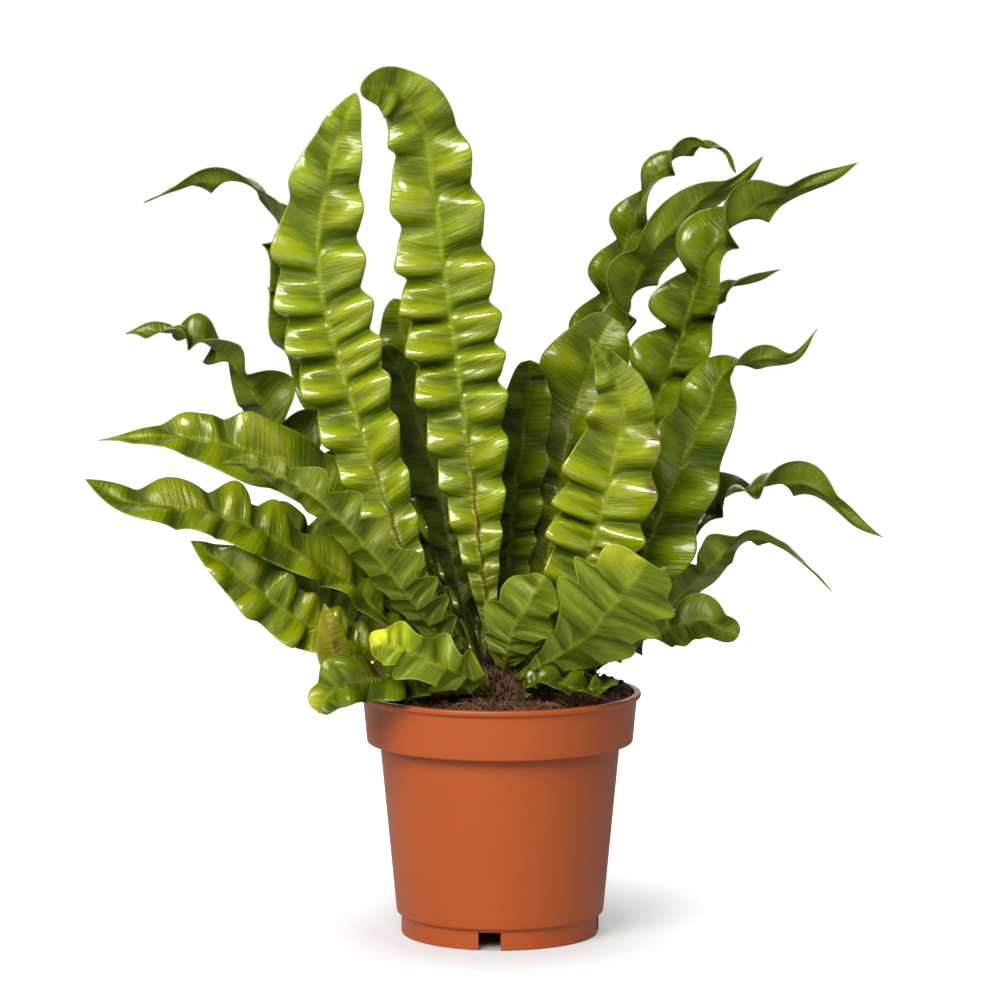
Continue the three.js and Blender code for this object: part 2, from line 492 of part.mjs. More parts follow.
/** One six-cornered section: edge, rib and edge on the upper face, then back along the lower. */
function bladeSection(row, rib, s, grow) {
  const frame = frameAt(rib, s);
  const half = BLADE.thickness / 2 + grow;
  const ribHalf = lookUp(BLADE.ribHalfThickness, s) + grow;
  if (s === 1) {
    const corner = (across, up) => frame.place.clone()
      .addScaledVector(frame.across, across * BLADE.tipHalfWidth).addScaledVector(frame.face, up * half);
    return [corner(-1, 1), corner(0, 1), corner(1, 1), corner(1, -1), corner(0, -1), corner(-1, -1)];
  }
  const upper = [];
  const lower = [];
  [-1, 0, 1].forEach((across) => {
    const normal = across ? edgeNormal(row, rib, s, across) : frame.face;
    const height = across ? half : ribHalf;
    const middle = bladePoint(row, rib, s, across).addScaledVector(frame.across, across * grow);
    upper.push(middle.clone().addScaledVector(normal, height));
    lower.unshift(middle.clone().addScaledVector(normal, -height));
  });
  return [...upper, ...lower];
}

/** Skins a row of six-cornered sections, with both faces split the same way, and closes the ends. */
function skin(sections) {
  const corners = 6;
  const position = sections.flat().flatMap((point) => point.toArray());
  const index = [];
  for (let i = 0; i + 1 < sections.length; i += 1) {
    for (let j = 0; j < corners; j += 1) {
      const a = i * corners + j;
      const b = i * corners + (j + 1) % corners;
      const c = b + corners;
      const d = a + corners;
      const lowerFace = j === 3 || j === 4;
      if (lowerFace) index.push(a, b, d, b, c, d);
      else index.push(a, b, c, a, c, d);
    }
  }
  const end = (sections.length - 1) * corners;
  [[0, 4, 1], [0, 5, 4], [1, 3, 2], [1, 4, 3]].forEach(([a, b, c]) => {
    index.push(a, b, c, end + a, end + c, end + b);
  });
  const geometry = new THREE.BufferGeometry();
  geometry.setAttribute('position', new THREE.Float32BufferAttribute(position, 3));
  geometry.setIndex(index);
  const solid = toSolid(geometry);
  if (solid.volume() > 0) return solid;
  geometry.setIndex(index.map((_, i) => index[i - (i % 3) + 2 - (i % 3)]));
  return toSolid(geometry);
}

function frondSolid(row) {
  const rib = ribOf(row);
  return skin(stationsOf(row).map((s) => bladeSection(row, rib, s, 0)));
}

/** The stalk's first stretch, fatter by the gap and started further back: what its socket is cut with. */
function socketCutter(row) {
  const rib = ribOf(row);
  const length = rib.curve.getLength();
  const stations = stationsOf(row);
  const last = stations.findIndex((s) => s * length > SOCKET_REACH);
  const sections = stations.slice(0, last + 1).map((s) => bladeSection(row, rib, s, SOCKET_GAP));
  const back = rib.curve.getTangentAt(0).multiplyScalar(-SOCKET_GAP);
  sections[0].forEach((point) => point.add(back));
  return skin(sections);
}

// ---------------------------------------------------------------- crown

function makeCrown(rows) {
  const dome = DOME_STEPS.map((share) => [CROWN.radius * share, domeHeight(CROWN.radius * share)]);
  const geometry = turned([
    [0, CROWN.base],
    [CROWN.radius, CROWN.base],
    [CROWN.radius, CROWN.shoulder],
    ...dome,
  ], DOME_SIDES);
  return toGeometry(cut(toSolid(geometry), rows.map(socketCutter)));
}

// ---------------------------------------------------------------- assembly

const rows = FRONDS.map((row, i) => ({ ...FROND_DEFAULTS, ...row, seed: SEED_STEP * i }));

const plant = new THREE.Group();
plant.position.set(POT_PLACE.x, POT_PLACE.y, 0);
plant.add(pieceOf('pot', makePot(), COLOUR.pot, 0.45));
plant.add(pieceOf('soil', makeSoil(), COLOUR.soil, 0.95));
plant.add(pieceOf('crown', makeCrown(rows), COLOUR.crown, 0.9));
rows.forEach((row) => {
  plant.add(pieceOf(row.name, toGeometry(frondSolid(row)), COLOUR[row.colour], 0.4));
});

export default plant;
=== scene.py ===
# A crinkle-leaved nest fern in a 14 cm nursery pot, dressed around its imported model.
# Everything is in metres, +Z is up, and the viewer stands at -Y.

import math
import random

import bmesh
import bpy
import numpy as np
from mathutils import Matrix, Vector, noise


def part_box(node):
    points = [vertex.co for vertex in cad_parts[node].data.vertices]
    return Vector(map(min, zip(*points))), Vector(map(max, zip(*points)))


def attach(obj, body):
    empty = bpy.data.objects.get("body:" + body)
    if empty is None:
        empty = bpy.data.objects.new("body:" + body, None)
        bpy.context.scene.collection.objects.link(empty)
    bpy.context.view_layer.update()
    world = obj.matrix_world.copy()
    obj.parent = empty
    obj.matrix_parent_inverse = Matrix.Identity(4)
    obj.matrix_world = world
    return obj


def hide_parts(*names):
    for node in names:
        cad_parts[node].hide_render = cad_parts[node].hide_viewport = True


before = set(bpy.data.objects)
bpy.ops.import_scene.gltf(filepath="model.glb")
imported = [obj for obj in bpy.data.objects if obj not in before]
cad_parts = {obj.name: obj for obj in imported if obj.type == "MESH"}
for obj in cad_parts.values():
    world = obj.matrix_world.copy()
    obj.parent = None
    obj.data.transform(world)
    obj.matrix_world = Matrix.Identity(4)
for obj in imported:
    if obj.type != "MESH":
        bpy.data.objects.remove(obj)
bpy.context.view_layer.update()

pot_low, pot_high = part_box("pot")
POT_CENTRE = Vector(((pot_low.x + pot_high.x) / 2, (pot_low.y + pot_high.y) / 2, 0))


# ---------------------------------------------------------------- camera
# A long portrait lens a little under two metres off, a little below the top of the plant and
# tipped down by five and a half degrees, as the pot's ellipses show.

CAMERA_DISTANCE = 1.870
CAMERA_HEIGHT = 0.394
CAMERA_TILT = math.radians(5.44)
CAMERA_LENS = 136.8
SENSOR_WIDTH = 36

camera_data = bpy.data.cameras.new("camera")
camera_data.lens = CAMERA_LENS
camera_data.sensor_width = SENSOR_WIDTH
camera = bpy.data.objects.new("camera", camera_data)
camera.location = POT_CENTRE + Vector((0, -CAMERA_DISTANCE, CAMERA_HEIGHT))
camera.rotation_euler = (math.pi / 2 - CAMERA_TILT, 0, 0)
bpy.context.scene.collection.objects.link(camera)
bpy.context.scene.camera = camera


# ---------------------------------------------------------------- pot
# The real pot is one thin injection-moulded shell of terracotta-coloured polypropylene. Its collar
# steps out from the tapered body to a rolled lip, and its foot ring is notched for drainage.

POT_HEIGHT = pot_high.z
LIP_RADIUS = (pot_high.x - pot_low.x) / 2
WALL = 0.0013
COLLAR_TOP_RADIUS = LIP_RADIUS - 0.002
COLLAR_BOTTOM_RADIUS = LIP_RADIUS - 0.0038
COLLAR_BOTTOM = POT_HEIGHT - 0.0252
COLLAR_UNDERCUT = (0.0002, 0.0012)
COLLAR_TOP = POT_HEIGHT - 0.0036
LIP_BOTTOM = POT_HEIGHT - 0.0026
LIP_INNER_TOP = POT_HEIGHT - 0.0002
LIP_INNER_BOTTOM = POT_HEIGHT - 0.0014
BODY_TOP_RADIUS = LIP_RADIUS - 0.0102
BODY_BOTTOM_RADIUS = LIP_RADIUS - 0.0185
BODY_BOTTOM = 0.0106
FOOT_RADIUS = LIP_RADIUS - 0.0208
FOOT_TOP = 0.0097
FLOOR_BOTTOM = 0.010
FLOOR_TOP = 0.0116
POT_STEPS = 192
CORNER_RADIUS = 0.0011
NOTCH_ANGLES = [math.radians(angle) for angle in (-96, -6, 84, 174)]
NOTCH_SIZE = (0.012, 0.011, 0.018)
DRAIN_HOLES = 8
DRAIN_RADIUS = 0.004
DRAIN_RING = 0.033
DRAIN_CUT = 0.008
DRAIN_STEPS = 32
SHARP_ANGLE = math.radians(50)
POT_COLOUR = (0.405, 0.072, 0.006, 1)
POT_PALE = (0.435, 0.081, 0.009, 1)
POT_ROUGHNESS = 0.34
SCUFF_ROUGHNESS = 0.16


def add_object(name, mesh):
    """Links a finished mesh to the scene as a new object at the origin."""
    new_object = bpy.data.objects.new(name, mesh)
    bpy.context.scene.collection.objects.link(new_object)
    return new_object


def to_mesh(name, shape):
    """Turns a bmesh into a mesh with its faces shaded smooth."""
    mesh = bpy.data.meshes.new(name)
    shape.to_mesh(mesh)
    shape.free()
    mesh.shade_smooth()
    return mesh


def add_node(tree, kind, sockets=None, **settings):
    """Adds a shader node, sets its properties, and its sockets by name or number."""
    new_node = tree.nodes.new(kind)
    for key, value in settings.items():
        setattr(new_node, key, value)
    for key, value in (sockets or {}).items():
        new_node.inputs[key].default_value = value
    return new_node


def add_colours(tree, factor, low, high, low_at=0.0, high_at=1.0):
    """Adds a ramp from one colour to another over a stretch of the factor, and returns its colour."""
    ramp = add_node(tree, "ShaderNodeValToRGB")
    ramp.color_ramp.elements[0].position = low_at
    ramp.color_ramp.elements[0].color = low
    ramp.color_ramp.elements[1].position = high_at
    ramp.color_ramp.elements[1].color = high
    tree.links.new(factor, ramp.inputs["Fac"])
    return ramp.outputs["Color"]


def add_sum(tree, operation, first, second):
    """Adds a Math node. Each side is a socket or a plain number."""
    sum_node = add_node(tree, "ShaderNodeMath", operation=operation)
    for socket, value in zip(sum_node.inputs, (first, second)):
        if isinstance(value, (int, float)):
            socket.default_value = value
        else:
            tree.links.new(value, socket)
    return sum_node.outputs[0]


def new_material(name, **sockets):
    """A material with one Principled shader, whose plain values are set on its own sockets."""
    material = bpy.data.materials.new(name)
    material.use_nodes = True
    shader = material.node_tree.nodes["Principled BSDF"]
    for key, value in sockets.items():
        shader.inputs[key.replace("_", " ")].default_value = value
    return material, material.node_tree, shader


def rounded(corners, radius, steps=4):
    """The same outline with each inner corner replaced by a short curve."""
    points = [Vector(corners[0])]
    for before, corner, after in zip(corners, corners[1:], corners[2:]):
        corner = Vector(corner)
        back = Vector(before) - corner
        ahead = Vector(after) - corner
        reach = min(radius, back.length * 0.45, ahead.length * 0.45)
        start = corner + back.normalized() * reach
        end = corner + ahead.normalized() * reach
        for step in range(steps + 1):
            t = step / steps
            points.append(start * (1 - t) ** 2 + corner * 2 * t * (1 - t) + end * t ** 2)
    points.append(Vector(corners[-1]))
    return points


def spin_outline(outline, steps):
    """A bmesh turned about the pot's axis from an outline of (radius, height) points."""
    shape = bmesh.new()
    verts = [shape.verts.new((radius, 0, height)) for radius, height in outline]
    edges = [shape.edges.new(pair) for pair in zip(verts, verts[1:])]
    bmesh.ops.spin(shape, geom=verts + edges, cent=(0, 0, 0), axis=(0, 0, 1),
                   angle=2 * math.pi, steps=steps, use_merge=True)
    bmesh.ops.remove_doubles(shape, verts=shape.verts, dist=1e-6)
    bmesh.ops.recalc_face_normals(shape, faces=shape.faces)
    bmesh.ops.translate(shape, verts=shape.verts, vec=POT_CENTRE)
    return shape


pot_outline = rounded([
    (0, FLOOR_BOTTOM),
    (FOOT_RADIUS - WALL, FLOOR_BOTTOM),
    (FOOT_RADIUS - WALL, 0),
    (FOOT_RADIUS, 0),
    (FOOT_RADIUS, FOOT_TOP),
    (BODY_BOTTOM_RADIUS, BODY_BOTTOM),
    (BODY_TOP_RADIUS, COLLAR_BOTTOM + COLLAR_UNDERCUT[1]),
    (COLLAR_BOTTOM_RADIUS - COLLAR_UNDERCUT[0], COLLAR_BOTTOM),
    (COLLAR_TOP_RADIUS, COLLAR_TOP),
    (LIP_RADIUS, LIP_BOTTOM),
    (LIP_RADIUS, POT_HEIGHT),
    (COLLAR_TOP_RADIUS - WALL, LIP_INNER_TOP),
    (COLLAR_TOP_RADIUS - WALL, LIP_INNER_BOTTOM),
    (COLLAR_BOTTOM_RADIUS - WALL, COLLAR_BOTTOM + WALL),
    (BODY_TOP_RADIUS - WALL, COLLAR_BOTTOM + WALL),
    (BODY_BOTTOM_RADIUS - WALL, FLOOR_TOP),
    (0, FLOOR_TOP),
], CORNER_RADIUS)
pot = add_object("pot_shell", to_mesh("pot_shell", spin_outline(pot_outline, POT_STEPS)))

shape = bmesh.new()
for angle in NOTCH_ANGLES:
    place = Matrix.Translation(POT_CENTRE) @ Matrix.Rotation(angle, 4, "Z")
    place = place @ Matrix.Translation((FOOT_RADIUS, 0, 0)) @ Matrix.Diagonal((*NOTCH_SIZE, 1))
    bmesh.ops.create_cube(shape, size=1, matrix=place)
for hole in range(DRAIN_HOLES):
    angle = (hole + 0.5) * 2 * math.pi / DRAIN_HOLES
    place = Matrix.Translation(POT_CENTRE) @ Matrix.Rotation(angle, 4, "Z")
    place = place @ Matrix.Translation((DRAIN_RING, 0, FLOOR_TOP - 0.001))
    bmesh.ops.create_cone(shape, cap_ends=True, segments=DRAIN_STEPS, radius1=DRAIN_RADIUS,
                          radius2=DRAIN_RADIUS, depth=DRAIN_CUT, matrix=place)
cutter = add_object("pot_cutter", to_mesh("pot_cutter", shape))
cut = pot.modifiers.new("notches", "BOOLEAN")
cut.operation = "DIFFERENCE"
cut.solver = "EXACT"
cut.object = cutter
bpy.context.view_layer.update()
cut_mesh = bpy.data.meshes.new_from_object(pot.evaluated_get(bpy.context.evaluated_depsgraph_get()))
pot.modifiers.clear()
pot.data = cut_mesh
bpy.data.objects.remove(cutter)
pot.data.set_sharp_from_angle(angle=SHARP_ANGLE)
pot.modifiers.new("even_shading", "WEIGHTED_NORMAL").keep_sharp = True

pot_plastic, tree, shader = new_material("pot_plastic", Specular_IOR_Level=0.5)
place = add_node(tree, "ShaderNodeTexCoord").outputs["Object"]
patches = add_node(tree, "ShaderNodeTexNoise", {"Scale": 14.0, "Detail": 4.0, "Roughness": 0.6})
grain = add_node(tree, "ShaderNodeTexNoise", {"Scale": 1400.0, "Detail": 2.0})
scuffs = add_node(tree, "ShaderNodeTexNoise", {"Scale": 90.0, "Detail": 6.0, "Roughness": 0.7})
for texture in (patches, grain, scuffs):
    tree.links.new(place, texture.inputs["Vector"])
colour = add_colours(tree, patches.outputs["Fac"], POT_COLOUR, POT_PALE, low_at=0.35, high_at=0.75)
tree.links.new(colour, shader.inputs["Base Color"])
gloss = add_sum(tree, "MULTIPLY_ADD", scuffs.outputs["Fac"], SCUFF_ROUGHNESS)
gloss.node.inputs[2].default_value = POT_ROUGHNESS
tree.links.new(gloss, shader.inputs["Roughness"])
bump = add_node(tree, "ShaderNodeBump", {"Strength": 0.25, "Distance": 0.00012})
tree.links.new(grain.outputs["Fac"], bump.inputs["Height"])
tree.links.new(bump.outputs["Normal"], shader.inputs["Normal"])
pot.data.materials.append(pot_plastic)
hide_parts("pot")
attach(pot, "root")


# ---------------------------------------------------------------- potting mix
# Dark peat and coir fills the pot to a few millimetres under the lip, with a heap at the back right.
# Loose crumbs and coir fibres lie on it, and a plain hole in its middle takes the crown.

RIM_LEVEL = 0.1180
CROWN_LEVEL = 0.1196
HEAP = dict(x=0.046, y=0.022, height=0.0052, spread=0.022)
CROWN_RADIUS = 0.028
CROWN_BASE = 0.112
MIX_GAP = 0.0006
MIX_RINGS = 26
MIX_STEPS = 160
MIX_EDGE = (0.0004, 0.003)
MIX_ROUGHNESS = 0.0016
CLOD_SCALE = 160
CLOD_DETAIL = (0.7, 2.1, 4)
CRUMBS = 1300
CRUMB_MARGINS = (0.002, 0.003)
CRUMB_SIZE = (0.0005, 0.0019)
CRUMB_WIDTH = (0.5, 0.9)
CRUMB_FLATNESS = (0.4, 0.8)
CRUMB_LIFT = 0.2
CRUMB_LUMPS = 0.3
LUMP_SCALE = 900
NOISE_SEED = 14
FIBRES = 760
FIBRE_MARGINS = (0.001, 0.006)
FIBRE_LENGTH = (0.004, 0.014)
FIBRE_ARCH = (0.0002, 0.0036)
FIBRE_RADIUS = 0.0001
FIBRE_THICKNESS = (1.1, 2.8)
FIBRE_BEND = 0.5
FIBRE_LIFT = 0.0002
FIBRE_REACH = 0.001
FIBRE_STEPS = 6
MIX_DARK = (0.016, 0.009, 0.006, 1)
MIX_BROWN = (0.110, 0.050, 0.027, 1)
FIBRE_DARK = (0.055, 0.022, 0.010, 1)
FIBRE_LIGHT = (0.450, 0.205, 0.100, 1)
MIX_FINISH = dict(dark=MIX_DARK, light=MIX_BROWN, scale=420.0, roughness=0.95, bump_height=0.0009)
CRUMB_FINISH = dict(dark=MIX_DARK, light=MIX_BROWN, scale=300.0, roughness=0.95, bump_height=0.0005)
FIBRE_FINISH = dict(dark=FIBRE_DARK, light=FIBRE_LIGHT, scale=130.0, roughness=0.8, bump_height=0.0002)


def mix_height(x, y):
    """Height of the potting mix at a place counted from the pot's centre."""
    away = math.hypot(x, y)
    share = min(max((away - CROWN_RADIUS) / (COLLAR_TOP_RADIUS - CROWN_RADIUS), 0), 1)
    slope = CROWN_LEVEL + (RIM_LEVEL - CROWN_LEVEL) * share
    heap = HEAP["height"] * math.exp(-((x - HEAP["x"]) ** 2 + (y - HEAP["y"]) ** 2)
                                     / (2 * HEAP["spread"] ** 2))
    clods = noise.fractal(Vector((x, y, 0)) * CLOD_SCALE, *CLOD_DETAIL)
    return slope + heap + MIX_ROUGHNESS * clods


edge_radius = COLLAR_TOP_RADIUS - WALL - MIX_GAP
ring_step = (edge_radius - CROWN_RADIUS - MIX_GAP) / MIX_RINGS
mix_outline = [
    (0, FLOOR_TOP + MIX_GAP),
    (BODY_BOTTOM_RADIUS - WALL - MIX_GAP, FLOOR_TOP + MIX_GAP),
    (BODY_TOP_RADIUS - WALL - MIX_GAP, COLLAR_BOTTOM + WALL),
    (BODY_TOP_RADIUS - WALL - MIX_GAP, COLLAR_BOTTOM + WALL + MIX_GAP),
    (COLLAR_BOTTOM_RADIUS - WALL - MIX_GAP, COLLAR_BOTTOM + WALL + MIX_GAP),
    (edge_radius - MIX_EDGE[0], RIM_LEVEL - MIX_EDGE[1]),
]
mix_outline += [(edge_radius - MIX_EDGE[0] - ring * ring_step, RIM_LEVEL) for ring in range(MIX_RINGS + 1)]
mix_outline += [(CROWN_RADIUS + MIX_GAP, CROWN_BASE - MIX_GAP), (0, CROWN_BASE - MIX_GAP)]
shape = spin_outline(mix_outline, MIX_STEPS)
for vert in shape.verts:
    if vert.co.z > RIM_LEVEL - 0.001:
        vert.co.z = mix_height(vert.co.x - POT_CENTRE.x, vert.co.y - POT_CENTRE.y)
mix = add_object("potting_mix", to_mesh("potting_mix", shape))


def in_batches(make_one, count, batch=60):
    """A bmesh of many small pieces, gathered a batch at a time, which is quicker than one by one."""
    gathered = bmesh.new()
    for start in range(0, count, batch):
        part = bmesh.new()
        for _ in range(start, min(start + batch, count)):
            make_one(part)
        part_mesh = bpy.data.meshes.new("batch")
        part.to_mesh(part_mesh)
        part.free()
        gathered.from_mesh(part_mesh)
        bpy.data.meshes.remove(part_mesh)
    return gathered


# The vector noise that lumps the crumbs and the crown starts from the clock until it has a seed.
noise.seed_set(NOISE_SEED)
mix_draws = random.Random(14)


def add_crumb(shape):
    """One lumpy crumb of peat, lying on the mix."""
    away = math.sqrt(mix_draws.uniform((CROWN_RADIUS + CRUMB_MARGINS[0]) ** 2,
                                       (edge_radius - CRUMB_MARGINS[1]) ** 2))
    angle = mix_draws.uniform(0, 2 * math.pi)
    x = away * math.cos(angle)
    y = away * math.sin(angle)
    size = mix_draws.uniform(*CRUMB_SIZE)
    place = Matrix.Translation(POT_CENTRE + Vector((x, y, mix_height(x, y) + CRUMB_LIFT * size)))
    place = place @ Matrix.Rotation(mix_draws.uniform(0, 6), 4, Vector((mix_draws.random(), 1, 0.5)))
    place = place @ Matrix.Diagonal((1, mix_draws.uniform(*CRUMB_WIDTH),
                                     mix_draws.uniform(*CRUMB_FLATNESS), 1))
    ball = bmesh.ops.create_icosphere(shape, subdivisions=1, radius=size, matrix=place)
    for vert in ball["verts"]:
        vert.co += CRUMB_LUMPS * size * noise.noise_vector(vert.co * LUMP_SCALE)


crumbs = add_object("coir_crumbs", to_mesh("coir_crumbs", in_batches(add_crumb, CRUMBS)))

strands = bpy.data.curves.new("coir_strands", "CURVE")
strands.dimensions = "3D"
strands.bevel_depth = FIBRE_RADIUS
strands.bevel_resolution = 0
strands.use_fill_caps = True
for fibre in range(FIBRES):
    away = math.sqrt(mix_draws.uniform((CROWN_RADIUS + FIBRE_MARGINS[0]) ** 2,
                                       (edge_radius - FIBRE_MARGINS[1]) ** 2))
    angle = mix_draws.uniform(0, 2 * math.pi)
    spot = Vector((away * math.cos(angle), away * math.sin(angle), 0))
    heading = mix_draws.uniform(0, 2 * math.pi)
    bend = mix_draws.uniform(-FIBRE_BEND, FIBRE_BEND)
    length = mix_draws.uniform(*FIBRE_LENGTH)
    arch = mix_draws.uniform(*FIBRE_ARCH)
    spline = strands.splines.new("POLY")
    spline.points.add(FIBRE_STEPS)
    thickness = mix_draws.uniform(*FIBRE_THICKNESS)
    for step, point in enumerate(spline.points):
        t = step / FIBRE_STEPS
        level = mix_height(spot.x, spot.y) + arch * math.sin(math.pi * t) + FIBRE_LIFT
        point.co = (*(POT_CENTRE + spot).xy, level, 1)
        point.radius = thickness * (1 - 0.5 * t)
        spot += Vector((math.cos(heading), math.sin(heading), 0)) * length / FIBRE_STEPS
        if spot.length > edge_radius - FIBRE_REACH:
            spot *= (edge_radius - FIBRE_REACH) / spot.length
        heading += bend
strand_object = add_object("coir_strands", strands)
bpy.context.view_layer.update()
strand_copy = strand_object.evaluated_get(bpy.context.evaluated_depsgraph_get())
strand_mesh = bpy.data.meshes.new_from_object(strand_copy)
bpy.data.objects.remove(strand_object)
fibres = add_object("coir_fibres", strand_mesh)


def speckled_material(name, dark, light, scale, roughness, bump_height):
    """A rough, matt natural stuff whose colour changes from grain to grain."""
    material, tree, shader = new_material(name, Roughness=roughness, Specular_IOR_Level=0.3)
    place = add_node(tree, "ShaderNodeTexCoord").outputs["Object"]
    grains = add_node(tree, "ShaderNodeTexNoise", {"Scale": scale, "Detail": 6.0, "Roughness": 0.7})
    cells = add_node(tree, "ShaderNodeTexVoronoi", {"Scale": scale * 0.6})
    tree.links.new(place, grains.inputs["Vector"])
    tree.links.new(place, cells.inputs["Vector"])
    mask = add_sum(tree, "MULTIPLY", grains.outputs["Fac"], cells.outputs["Distance"])
    tree.links.new(add_colours(tree, mask, dark, light, low_at=0.08, high_at=0.42),
                   shader.inputs["Base Color"])
    bump = add_node(tree, "ShaderNodeBump", {"Strength": 0.8, "Distance": bump_height})
    tree.links.new(grains.outputs["Fac"], bump.inputs["Height"])
    tree.links.new(bump.outputs["Normal"], shader.inputs["Normal"])
    return material


mix.data.materials.append(speckled_material("peat", **MIX_FINISH))
crumbs.data.materials.append(speckled_material("peat_crumbs", **CRUMB_FINISH))
fibres.data.materials.append(speckled_material("coir", **FIBRE_FINISH))
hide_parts("soil")
for piece in (mix, crumbs, fibres):
    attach(piece, "root")


# ---------------------------------------------------------------- crown
# The crown is the short rootstock that the fronds grow from. It is a low dome, shaggy with
# papery red-brown scales that point up and outward between the stalks.

CROWN_SHOULDER = 0.121
CROWN_RISE = 0.017
DOME_RINGS = (0.94, 0.86, 0.76, 0.64, 0.5, 0.36, 0.2, 0)
DOME_STEPS = 64
DOME_SINK = 0.001
DOME_LUMPS = 0.0008
DOME_LUMP_SCALE = 260
SCALES = 820
SCALE_LEAN = (8, 70)
SCALE_LENGTH = (0.003, 0.0075)
SCALE_WIDTH = (0.0003, 0.0008)
SCALE_SINK = 0.0015
SCALE_TWIST = 0.6
SCALE_POINT = 0.12
SCALE_FLATNESS = 0.3
SCALE_CURL = 0.25
SCALE_DARK = (0.022, 0.010, 0.005, 1)
SCALE_LIGHT = (0.120, 0.054, 0.026, 1)
SCALE_FINISH = dict(dark=SCALE_DARK, light=SCALE_LIGHT, scale=160.0, roughness=0.7, bump_height=0.0003)


def dome_height(radius):
    """Height of the crown's dome at a distance from its middle."""
    return CROWN_SHOULDER + CROWN_RISE * (1 - (radius / CROWN_RADIUS) ** 2)


dome_wall = CROWN_RADIUS - MIX_GAP
dome_outline = [(0, CROWN_BASE), (dome_wall, CROWN_BASE), (dome_wall, CROWN_SHOULDER)]
dome_outline += [(CROWN_RADIUS * share, dome_height(CROWN_RADIUS * share) - DOME_SINK)
                 for share in DOME_RINGS]
shape = spin_outline(dome_outline, DOME_STEPS)
for vert in shape.verts:
    if vert.co.z > CROWN_SHOULDER - DOME_SINK:
        vert.co += DOME_LUMPS * noise.noise_vector(vert.co * DOME_LUMP_SCALE)
dome_mesh = bpy.data.meshes.new("dome")
shape.to_mesh(dome_mesh)
shape.free()
scale_draws = random.Random(23)


def add_scale(shape):
    """One papery scale: a thin pointed blade that leans outward from the dome."""
    away = CROWN_RADIUS * math.sqrt(scale_draws.uniform(0.0, 0.98))
    angle = scale_draws.uniform(0, 2 * math.pi)
    lean = math.radians(scale_draws.uniform(*SCALE_LEAN)) * (0.35 + 0.65 * away / CROWN_RADIUS)
    length = scale_draws.uniform(*SCALE_LENGTH)
    width = scale_draws.uniform(*SCALE_WIDTH)
    root = POT_CENTRE + Vector((away * math.cos(angle), away * math.sin(angle),
                                dome_height(away) - SCALE_SINK))
    place = Matrix.Translation(root) @ Matrix.Rotation(angle, 4, "Z") @ Matrix.Rotation(lean, 4, "Y")
    place = place @ Matrix.Rotation(scale_draws.uniform(-SCALE_TWIST, SCALE_TWIST), 4, "Z")
    blade = bmesh.ops.create_cone(shape, cap_ends=True, segments=4, radius1=width,
                                  radius2=width * SCALE_POINT, depth=length,
                                  matrix=Matrix.Translation((0, 0, length / 2)))["verts"]
    for vert in blade:
        vert.co.x *= SCALE_FLATNESS
        vert.co.x += SCALE_CURL * length * (vert.co.z / length) ** 2
    bmesh.ops.transform(shape, matrix=place, verts=blade)


shape = in_batches(add_scale, SCALES)
shape.from_mesh(dome_mesh)
bmesh.ops.recalc_face_normals(shape, faces=shape.faces)
crown = add_object("scaly_crown", to_mesh("scaly_crown", shape))
crown.data.materials.append(speckled_material("papery_scales", **SCALE_FINISH))
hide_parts("crown")
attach(crown, "root")


# ---------------------------------------------------------------- fronds
# Each frond is one undivided strap of leathery leaf on a short stalk, held up by a raised rib. Its
# two halves are pleated between rib and edge. It grows from the crown at a ring and an azimuth, along
# a path of points counted from the pot's centre: x, y, z and the turn of its upper face in degrees.

ROOT_RING = dict(inner=0.008, middle=0.015, outer=0.0225)
SOCKET_DEPTH = 0.007
STALK_HALF_WIDTH = 0.0026
STALK_END = 0.05
WAVE_START = 0.07
ROWS_PER_WAVE = 24
LEAST_ROWS = 110
COLUMNS = (0, 0.03, 0.06, 0.1, 0.15, 0.21, 0.28, 0.36, 0.45, 0.55, 0.65, 0.74, 0.82, 0.89, 0.95, 1)
LEAF_HALF_THICKNESS = 0.00030
RIB_HALF_THICKNESS = ((0, 0.0013), (0.1, 0.0012), (0.5, 0.0007), (1, 0.0003))
RIB_HALF_WIDTH = 0.0013
EDGE_THINNING = 0.35
SEED_STEP = 0.7
BUNCHING = 0.65
SLOW_DRIFT = (0.9, 3.4)
QUICK_DRIFT = (0.6, 6.6, 2.1)
HEIGHT_SWAY = (0.3, 5.2, 1.3)
RIPPLE_SWAY = (1.5, 4.1)
ROOT_FADE = 0.12
TIP_FADE = (0.1, 0.6)
NARROW_FADE = 0.7
STEEPNESS = 0.6
ROUNDNESS = 0.7
PILLOW_SWELL = 0.62
VALLEY_POWER = 0.6
RIPPLE = 0.24
RIPPLE_SIDE = 1.2
RIPPLE_POWER = 0.8
RIPPLE_MARK = 0.5
